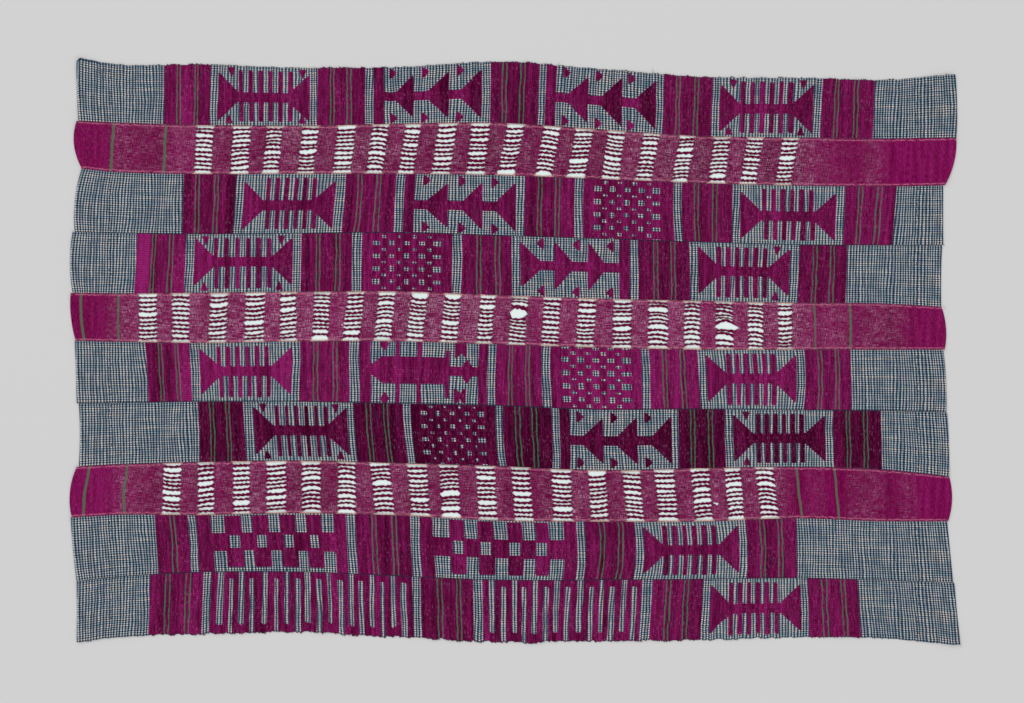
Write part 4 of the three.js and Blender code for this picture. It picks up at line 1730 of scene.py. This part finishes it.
def check_strips() -> list[CheckStrip]:
    """The seven check strips with their figures.

    Returns:
        The strips, from the top of the photo.
    """
    return [
        CheckStrip(0, (77, 77, 79), (955, 957, 956), (5, 2.5), 0.52, motifs=(
            *panels((164.3, 210.2, 177.3, 180.5, 194.9, 197.8), (317.4, 365.2, 330.8, 334, 347, 351.2),
                    (490.4, 538.4, 502.2, 506.3, 519.6, 523.7), (663.2, 711.8, 676.2, 679.6, 694.3, 698),
                    (821.5, 873.8, 834.8, 838, 854, 857.8)),
            Fishbone(217.9, 310, 1.4, ((231.3, True), (302.5, True), (229.5, False), (302.3, False)),
                     (0.6, 3.3), (2.3, 3.4), 2.3),
            Fishbone(719.6, 813.2, 1.2, ((732.5, True), (802.5, True), (729.5, False), (801.5, False)),
                     (0.8, -0.1), (1.6, 1.1), 2.45),
            Arrows(373.5, 482, ((396, 413.5), (428.5, 449.2), (461.5, 482)), (393.6, 425.4, 460.4),
                   off=1.1),
            Arrows(545.4, 656.1, ((568.3, 588.3), (601.5, 622.2), (635, 656)), (566.3, 599.2, 631.6),
                   off=1.4)),
            lean=((164, -0.5, 0), (320, -0.5, 0), (450, 0, 0), (540, -2.5, 0), (660, -1.5, 0),
                  (720, -2.5, 0), (874, -2.5, 0), (920, -0.5, 0)),
            lots=((440, 449, 0.12), (468, 481, 0.3), (606, 622, 0.2), (640, 656, 0.12), (183, 188, 0.72),
                  (396, 413, 0.3))),
        CheckStrip(2, (82, 75, 75), (943, 943, 943), (1.5, 1.5), 0.5, motifs=(
            *panels((183.1, 234.9, 195.3, 199, 213.9, 217.8), (344, 395.1, 356.7, 360.8, 375.1, 379.4),
                    (524.7, 574.7, 538, 541.6, 555.3, 559.4), (682.4, 732.4, 695.2, 699.1, 712.9, 717),
                    (844, 894.3, 857.3, 860.7, 875.3, 879.7)),
            Fishbone(243, 334.4, 1.8, (), (2.5, 2), (4, 3.8)),
            Fishbone(740, 835.3, 1.6, (), (1.8, -2), (3.8, 0.4), 2.4),
            Arrows(403.9, 515.7, ((427, 448), (463, 482.6), (496, 515.9)), (426.4, 462.4, 495),
                   off=1.5),
            Spots(583.3, 674.5, (594.2, 661.2), 9.9, 0.3)),
            lean=((120, -5, 0), (184, -1.5, 0), (240, -4, 0), (340, -4.5, 0), (400, -3.5, 0), (520, -1, 0),
                  (640, -0.5, -0.8), (680, 1.5, -1), (736, -1, 0), (840, -2.5, 0), (893, -5, 0)),
            lots=((183, 193, 0.3), (226, 236, 0.25), (345, 352, 0.32), (770, 778, 0.7))),
        CheckStrip(3, (73, 70, 73), (942, 941, 941), (2, 1), 0.47, motifs=(
            *panels((136, 185.3, 151.5, 154.5, 168.5, 172.5), (301, 352, 316.4, 319.8, 336, 340),
                    (462, 511.8, 477.3, 480.8, 495.5, 499.8), (638.4, 689.5, 653.7, 657.5, 671.1, 674.7),
                    (798.9, 846, 812.4, 816.2, 829.3, 833.3)),
            Fishbone(194.1, 292.7, -1.5, ((205, True), (281, True), (205, False), (279.5, False)),
                     (-0.6, -0.8), (1.2, -0.2)),
            Fishbone(697.7, 789.8, -1.2, ((776, False), (776.5, True)), (-1, -2), (-1.2, -1.2), 2.5),
            Arrows(520.4, 629.9, ((540, 520.4), (572.3, 554.4), (604.5, 588)), (540.4, 576, 609.8),
                   True, -1.5),
            Spots(361.8, 452.3, (372.8, 441.6), 10.7, 0.5)),
            lean=((100, -2, 0), (138, -3.5, 0), (190, -2.5, 0), (296, -1, 0), (460, -0.5, 0), (516, 0.5, 0),
                  (694, 0, 0), (794, -2.5, 0), (846, -1.5, 0)),
            lots=((136, 149, 0.95), (149, 152, 0.6), (176, 185, 0.66), (195, 212, 0.72), (306, 310, 0.2),
                  (236, 243, 0.72))),
        CheckStrip(5, (75, 76, 77), (943, 946, 946), (1.5, 1.5), 0.6, motifs=(
            *panels((147.2, 191, 159.8, 163, 176.5, 179.5), (300, 349.3, 313.5, 317.9, 333.2, 337),
                    (495.5, 542, 509, 512.4, 526, 529.8), (649.8, 698.9, 663, 666.8, 681.1, 685.3),
                    (803.8, 850.5, 817.5, 821.2, 835, 838.5)),
            Fishbone(200, 291.9, -0.6, (), (-2.7, -2.4), (-1, -0.2)),
            Fishbone(706.6, 795.3, -0.9, (), (0.4, 0.1), (0.2, 0.6), 2.35),
            Creature(359.6, 487.4), Spots(550.8, 641.6, (562.6, 631), 12.7)),
            lean=((100, 2.5, 0), (147, 3.5, 0), (196, 3, 0), (296, -0.5, 0), (355, -0.5, 0), (490, -1, 0),
                  (546, 1.5, 0), (646, 2, 0), (702, 4, 0), (800, 0, 1.6), (850, 0.5, 0.6)),
            lots=((149, 160, 0.36), (166, 172, 0.34), (183, 191, 0.75), (272, 291, 0.78))),
        CheckStrip(6, (79, 80, 79), (947, 949, 949), (1, 2), 0.13, motifs=(
            *panels((199.3, 244.7, 210.7, 214.2, 227, 230.5), (355.6, 405.4, 368.3, 372.4, 386, 389.9),
                    (504.6, 552, 517, 521.2, 533.1, 537.2), (678.6, 725.4, 691, 695, 709, 713),
                    (833.4, 881.6, 847, 850.2, 864, 867.6)),
            Fishbone(254.4, 348.8, -0.6, ((264.5, True), (337.4, True), (266, False), (339, False)),
                     (2.1, 1.4), (2.6, 1.6), 2.0),
            Fishbone(733.5, 825.6, -0.2, ((746.5, True), (746.5, False)), (2.9, -1.3), (3.4, -0.3), 2.35),
            Arrows(559.6, 672, ((583, 603.2), (617.4, 637.7), (652.6, 672)), (580.5, 614.5, 648.5),
                   off=1.1, inset=7.6),
            Spots(413.1, 497.2, (422.6, 487.8), 9.2, 0.9)),
            lean=((120, 1, 0), (199, 2, 0), (250, 3.5, 0), (352, 4, -0.6), (408, 5, -1), (500, 4.5, -1),
                  (556, 1.5, 0), (675, 1, 0), (730, 1, 0), (829, 0, 0)),
            lots=((226, 246, 0.22), (330, 349, 0.22))),
        CheckStrip(8, (71, 73, 77), (947, 950, 953), (1.5, 1.5), 0.48, motifs=(
            *panels((156.8, 189.5, 172, 176.5, 192, 195), (356.6, 411.2, 372.7, 376.8, 392.9, 397),
                    (583.5, 633.4, 597.9, 602.2, 616.4, 620.9), (746, 796.2, 760, 764.2, 777.8, 782)),
            Fishbone(641.9, 737.9, -0.2, (), (-0.2, -1.9), (0.7, -2.1), 2.5),
            Checker(198, 347.2,
                    ((212.1, 225.6), (242.4, 253.4), (269.8, 281), (296.8, 307.3), (322.3, 335)),
                    ((230, 240.1), (257.5, 266.9), (284.4, 293.6), (310.3, 318.6))),
            Checker(420.7, 575.4,
                    ((433.4, 450), (464.8, 477.8), (493.6, 507.2), (521.8, 534.6), (547.4, 562.4)),
                    ((453, 463.4), (480.2, 490.6), (508.7, 519.3), (534.8, 545.4)))),
            lean=((100, 4, 0), (157, 4, 0), (194, 4, 0), (290, 4, 0), (350, 3, 0), (416, 2.5, 0),
                  (500, 1.5, 0.5), (580, -1.5, 2.5), (638, -1, 2.2), (742, 1.5, 1.5), (797, 1, 0.6),
                  (860, 2, 0)),
            lots=((610, 633, 0.4), (380, 390, 0.34))),
        CheckStrip(9, (77, 77, 77), (954, 957, 960), (2.5, 4), 0.47, motifs=(
            *panels((149.6, 202.6, 165.2, 169.2, 185.2, 189.4), (421.2, 473.6, 438, 442.4, 457, 461),
                    (650.8, 701.7, 664.8, 669.3, 683, 687.4), (808.4, 859.1, 822.8, 827.4, 842.4, 846.4)),
            Fishbone(710.2, 801, 0.0, (), (-1.3, -2.3), (-1.2, -1.8), 2.35),
            Meander(210.5, 412.9,
                    (220, 230.7, 241.1, 252.2, 264.9, 276.3, 287, 298.1, 307.9, 319.4, 329.8, 341.1,
                     351.7, 361.4, 372.3, 382.6, 393.4, 404.1),
                    (6.2, 3.7, 5.4, 4.4, 5.1, 3.6, 4.5, 5.7, 5.7, 5.4, 3.4, 5.4, 5, 4.9, 4.7, 4, 4.9, 5.9)),
            Meander(482.8, 640.4,
                    (492, 503.5, 514.4, 524.2, 534.6, 545.6, 556.1, 567, 579.3, 590.7, 600.5, 611.3,
                     623.1, 633.2),
                    (5.8, 5.2, 5, 4.4, 5.3, 5.3, 5.5, 5.1, 6, 4.8, 4.2, 5.9, 4.9, 5))),
            lean=((100, -1, 0), (150, -2, 0), (206, -2.5, 0), (300, 0.5, 0), (418, 2, 0), (478, 1, 0),
                  (560, -1.5, 0), (645, -4, 0), (706, -2, 0), (804, 1.5, 0), (860, 4, 0)),
            lots=((482, 490, 0.6), (700, 702, 0.3))),
    ]


def open_strips() -> list[OpenStrip]:
    """The three openwork strips with their columns.

    Returns:
        The strips, from the top of the photo.
    """
    return [
        OpenStrip(1, (77, 74, 82), (956, 954.3, 945), (2.5, 3), 0.53, (110, 890),
                  tops=(197, 233, 267.6, 303, 338, 372.7, 406, 439, 471.6, 508, 544, 576, 608, 644, 680, 714,
                        748, 783),
                  bottoms=(194, 230, 262, 297, 332.6, 365.5, 398, 431, 465.5, 497, 535, 566.5, 602, 635,
                           671.6, 708, 740, 775),
                  widths=(17, 18, 16, 16, 18, 16.5, 15, 18.5, 19, 17, 16.5, 18, 17, 16, 15, 16.5, 15.5, 15.5),
                  shade=0.12, stripes=((114.5, 111, -0.6, 0.85), (166, 163.6, 0, 0.85)),
                  torn=((0, 2, 1.7), (3, 3, 2.0), (3, 5, 2.2), (9, 10, 2.3), (11, 7, 2.4), (11, 10, 1.8),
                        (10, 10, 1.7), (14, 3, 1.7), (16, 8, 1.6), (13, 2, 1.7)),
                  pulls=((238, 0.82, 1.5, 1.5), (312, 0.5, 1.5, -1.0), (690, 0.4, 1.5, 1.0))),
        OpenStrip(4, (71, 71, 76), (941.5, 946, 944.5), (2.5, 2), 0.53, (107, 916),
                  tops=(139, 172, 211, 245.6, 280, 314.5, 348, 379, 412, 445, 481, 512, 544, 579, 613.5, 648,
                        684, 715, 748, 778),
                  bottoms=(139, 172, 208, 243.7, 280, 311.6, 342, 374, 406, 440, 476, 508, 541, 576, 612, 648,
                           684, 716, 748, 778),
                  widths=(18, 17.5, 17.3, 20, 16.5, 16.3, 17, 16.5, 16.3, 16.5, 15, 16.5, 17, 17.5, 19, 20,
                          16, 17.5, 15, 14),
                  worn=1.2, stripes=((82, 85, -2.0, 0.9), (119.2, 118.8, -0.8, 1.05),
                                    (813.8, 814.8, 0.9, 1.5), (849.7, 850, 0.8, 1.1)),
                  torn=((4, 3, 2.0), (5, 10, 2.3), (7, 0, 1.8), (7, 6, 1.8), (8, 0, 2.0), (9, 0, 2.0),
                        (9, 6, 2.2), (10, 2, 2.0), (11, 3, 3.6), (13, 2, 1.7), (14, 4, 1.9), (15, 2, 2.6),
                        (15, 6, 2.6), (17, 6, 3.4), (17, 8, 2.6), (17, 7, 0.35), (19, 2, 2.0), (19, 1, 0.6)),
                  pulls=((733, 0.57, 5.5, -1.0), (727, 0.42, 0.0, -2.2), (520, 0.18, 1.5, -2.6),
                         (516, 0.42, -2.5, 1.6), (586, 0.62, -3.0, 1.0))),
        OpenStrip(7, (77, 70, 72), (949, 952, 948), (3, 2), 0.55, (112, 918),
                  tops=(164, 198, 233, 266.6, 301.5, 338, 370, 407, 439, 476, 511, 551, 588, 622, 654, 690.5,
                        724.6, 755),
                  bottoms=(162, 198, 233, 266.6, 301.5, 338, 375, 411, 442, 479, 515, 553, 591, 627, 659, 695,
                           729, 761),
                  widths=(17.5, 16, 17, 19.4, 19, 17.6, 19.5, 19.5, 19, 18.5, 18.5, 20, 17.5, 17.3, 19.5,
                          18.3, 15.3, 18),
                  shade=0.08, worn=0.85, stripes=((90.5, 83.7, -1.8, 0.85), (128.2, 124.2, -1.9, 0.8),
                                                (796.6, 802, -0.5, 0.95), (834.3, 838.8, 0, 0.95)),
                  torn=((0, 1, 1.9), (0, 7, 2.2), (1, 4, 1.8), (2, 8, 2.2), (4, 0, 1.9), (4, 5, 1.9),
                        (6, 4, 2.2), (7, 7, 1.8), (8, 6, 3.0), (8, 7, 0.5), (8, 10, 1.9), (11, 8, 2.2),
                        (12, 0, 1.7), (15, 4, 1.9), (15, 6, 1.9), (18, 1, 1.9), (18, 3, 2.0), (18, 2, 1.2)),
                  tears=(Column(711.5, 714, 5.5, 7),)),
    ]


@dataclass(frozen=True)
class Lamp:
    """One soft square lamp that looks at the middle of the cloth, in metres and watts."""

    name: str
    at: tuple[float, float, float]
    size: float
    power: float

    def build(self) -> None:
        """Makes the lamp."""
        light = bpy.data.lights.new(self.name, "AREA")
        light.size = self.size
        light.energy = self.power
        lamp = put_in_scene(self.name, light)
        lamp.location = self.at
        lamp.rotation_euler = (-Vector(self.at)).to_track_quat("-Z", "Y").to_euler()


@dataclass(frozen=True)
class Studio:
    """The pale floor, lit a little from below, the paper under the cloth, the soft light and the camera."""

    reach: float = 6.0
    floor_z: float = -0.0012
    paper_z: float = -0.0006
    glow: float = 0.265
    room: float = 0.55
    photo_px: tuple[int, int] = (1024, 703)
    lens_mm: float = 100.0
    film_mm: float = 36.0
    lamps: tuple[Lamp, ...] = (Lamp("key_light", (-4.2, 4.8, 7.6), 4.0, 338.0),
                               Lamp("fill_light", (4.2, -4.8, 7.6), 5.0, 298.0))

    def plain(self, name: str, red: float, green: float, blue: float) -> bpy.types.Material:
        """A matt paper with a faint grain.

        Args:
            name: the name that it gets.
            red: its red, 0 to 255.
            green: its green, 0 to 255.
            blue: its blue, 0 to 255.
        Returns:
            The material.
        """
        dye = Dye(name)
        base = np.array([red, green, blue])
        colour = dye.blend(dye.speckle(3.0), (*(base * 0.995), 1.0), (*(base * 1.005), 1.0))
        return dye.finish(colour, None, 0.0, 1.0, 0.0, 0.0)

    def sheet(self, name: str, corners: Sequence[tuple[float, float]], z: float,
              material: bpy.types.Material) -> None:
        """A flat stage piece through some corners.

        Args:
            name: the name that it gets.
            corners: the outline's corners, in metres.
            z: its height, in metres.
            material: the finish.
        """
        mesh = bpy.data.meshes.new(name)
        mesh.from_pydata([(x, y, z) for x, y in corners], [], [list(range(len(corners)))])
        obj = put_in_scene(name, mesh)
        obj.data.materials.append(material)

    def floor(self) -> None:
        """The wide floor, which glows a little so that the cloth's shadow stays faint."""
        material = self.plain("floor_paper", 0.37, 0.37, 0.37)
        for node in material.node_tree.nodes:
            if node.type == "BSDF_PRINCIPLED":
                node.inputs["Emission Color"].default_value = (1.0, 1.0, 1.0, 1.0)
                node.inputs["Emission Strength"].default_value = self.glow
        corners = [(x * self.reach, y * self.reach) for x, y in ((-1, -1), (1, -1), (1, 1), (-1, 1))]
        self.sheet("floor", corners, self.floor_z, material)

    def paper(self) -> None:
        """White paper under the cloth, 5 px inside its long edges, which shows through the gaps."""
        xs = np.linspace(84, 940, 60)
        top_x, top_y = to_metres(xs, PLAN.row(0, xs) + 5)
        low_x, low_y = to_metres(xs, PLAN.row(10, xs) - 5)
        outline = list(zip(np.append(low_x, top_x[::-1]), np.append(low_y, top_y[::-1])))
        material = self.plain("white_paper", 0.755, 0.85, 0.835)
        self.sheet("paper_under_cloth", outline, self.paper_z, material)

    def soft_room(self) -> None:
        """An even white surrounding."""
        world = bpy.data.worlds.new("soft_room")
        world.use_nodes = True
        background = world.node_tree.nodes["Background"]
        background.inputs[0].default_value = (1, 1, 1, 1)
        background.inputs[1].default_value = self.room
        bpy.context.scene.world = world

    def camera(self) -> None:
        """The camera straight above the middle of the photo, so far up that a photo pixel is PX wide."""
        lens = bpy.data.cameras.new("camera")
        lens.lens = self.lens_mm
        lens.sensor_width = self.film_mm
        lens.clip_end = 100
        camera = put_in_scene("camera", lens)
        across, down = self.photo_px
        camera.location = ((across / 2 - MIDDLE_PX[0]) * PX, (MIDDLE_PX[1] - down / 2) * PX,
                           across * PX * self.lens_mm / self.film_mm)
        bpy.context.scene.camera = camera

    def build(self) -> None:
        """Makes the floor, the paper, the lights and the camera."""
        self.floor()
        self.paper()
        for lamp in self.lamps:
            lamp.build()
        self.soft_room()
        self.camera()
        bpy.context.scene.view_settings.view_transform = "Standard"


def report(made: bpy.types.Object) -> None:
    """Logs a piece that was made."""
    log.info("%s: %d faces", made.name, len(made.data.polygons))


def main() -> None:
    """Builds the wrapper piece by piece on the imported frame."""
    logging.basicConfig(level=logging.INFO, format="%(message)s")
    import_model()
    Studio().build()
    check, magenta = CheckFinish().build(), OpenFinish().build()
    pink = ThreadFinish("pink_thread", YARN.pink, paint(140, 50, 90)).build()
    blue = ThreadFinish("blue_thread", paint(34, 52, 82), paint(8, 18, 36)).build()
    peach = ThreadFinish("peach_thread", YARN.peach, paint(200, 140, 130)).build()
    dark = ThreadFinish("magenta_thread", paint(130, 20, 84), paint(70, 6, 40)).build()
    opened, checks = open_strips(), check_strips()
    for strip in checks:
        report(strip.build(check))
    for strip in opened:
        report(strip.build(magenta))
    for line in range(1, 10):
        if line in (3, 6, 9):
            report(Seam(line, SeamThread.BLUE).build(blue, "check_cloth"))
        else:
            report(Seam(line, SeamThread.PINK).build(pink, "open_cloth"))
    report(FloatingThreads(opened).build(peach))
    report(HemStitches(checks).build("hem_stitches_blue", blue, "check_cloth"))
    report(HemStitches(opened).build("hem_stitches_magenta", dark, "open_cloth"))
    report(Fray().build("fray_magenta", dark, MAGENTA_FRAY, "open_cloth"))
    report(Fray().build("fray_blue", blue, BLUE_FRAY, "check_cloth", LONG_ENDS))


if __name__ == "__main__":
    main()
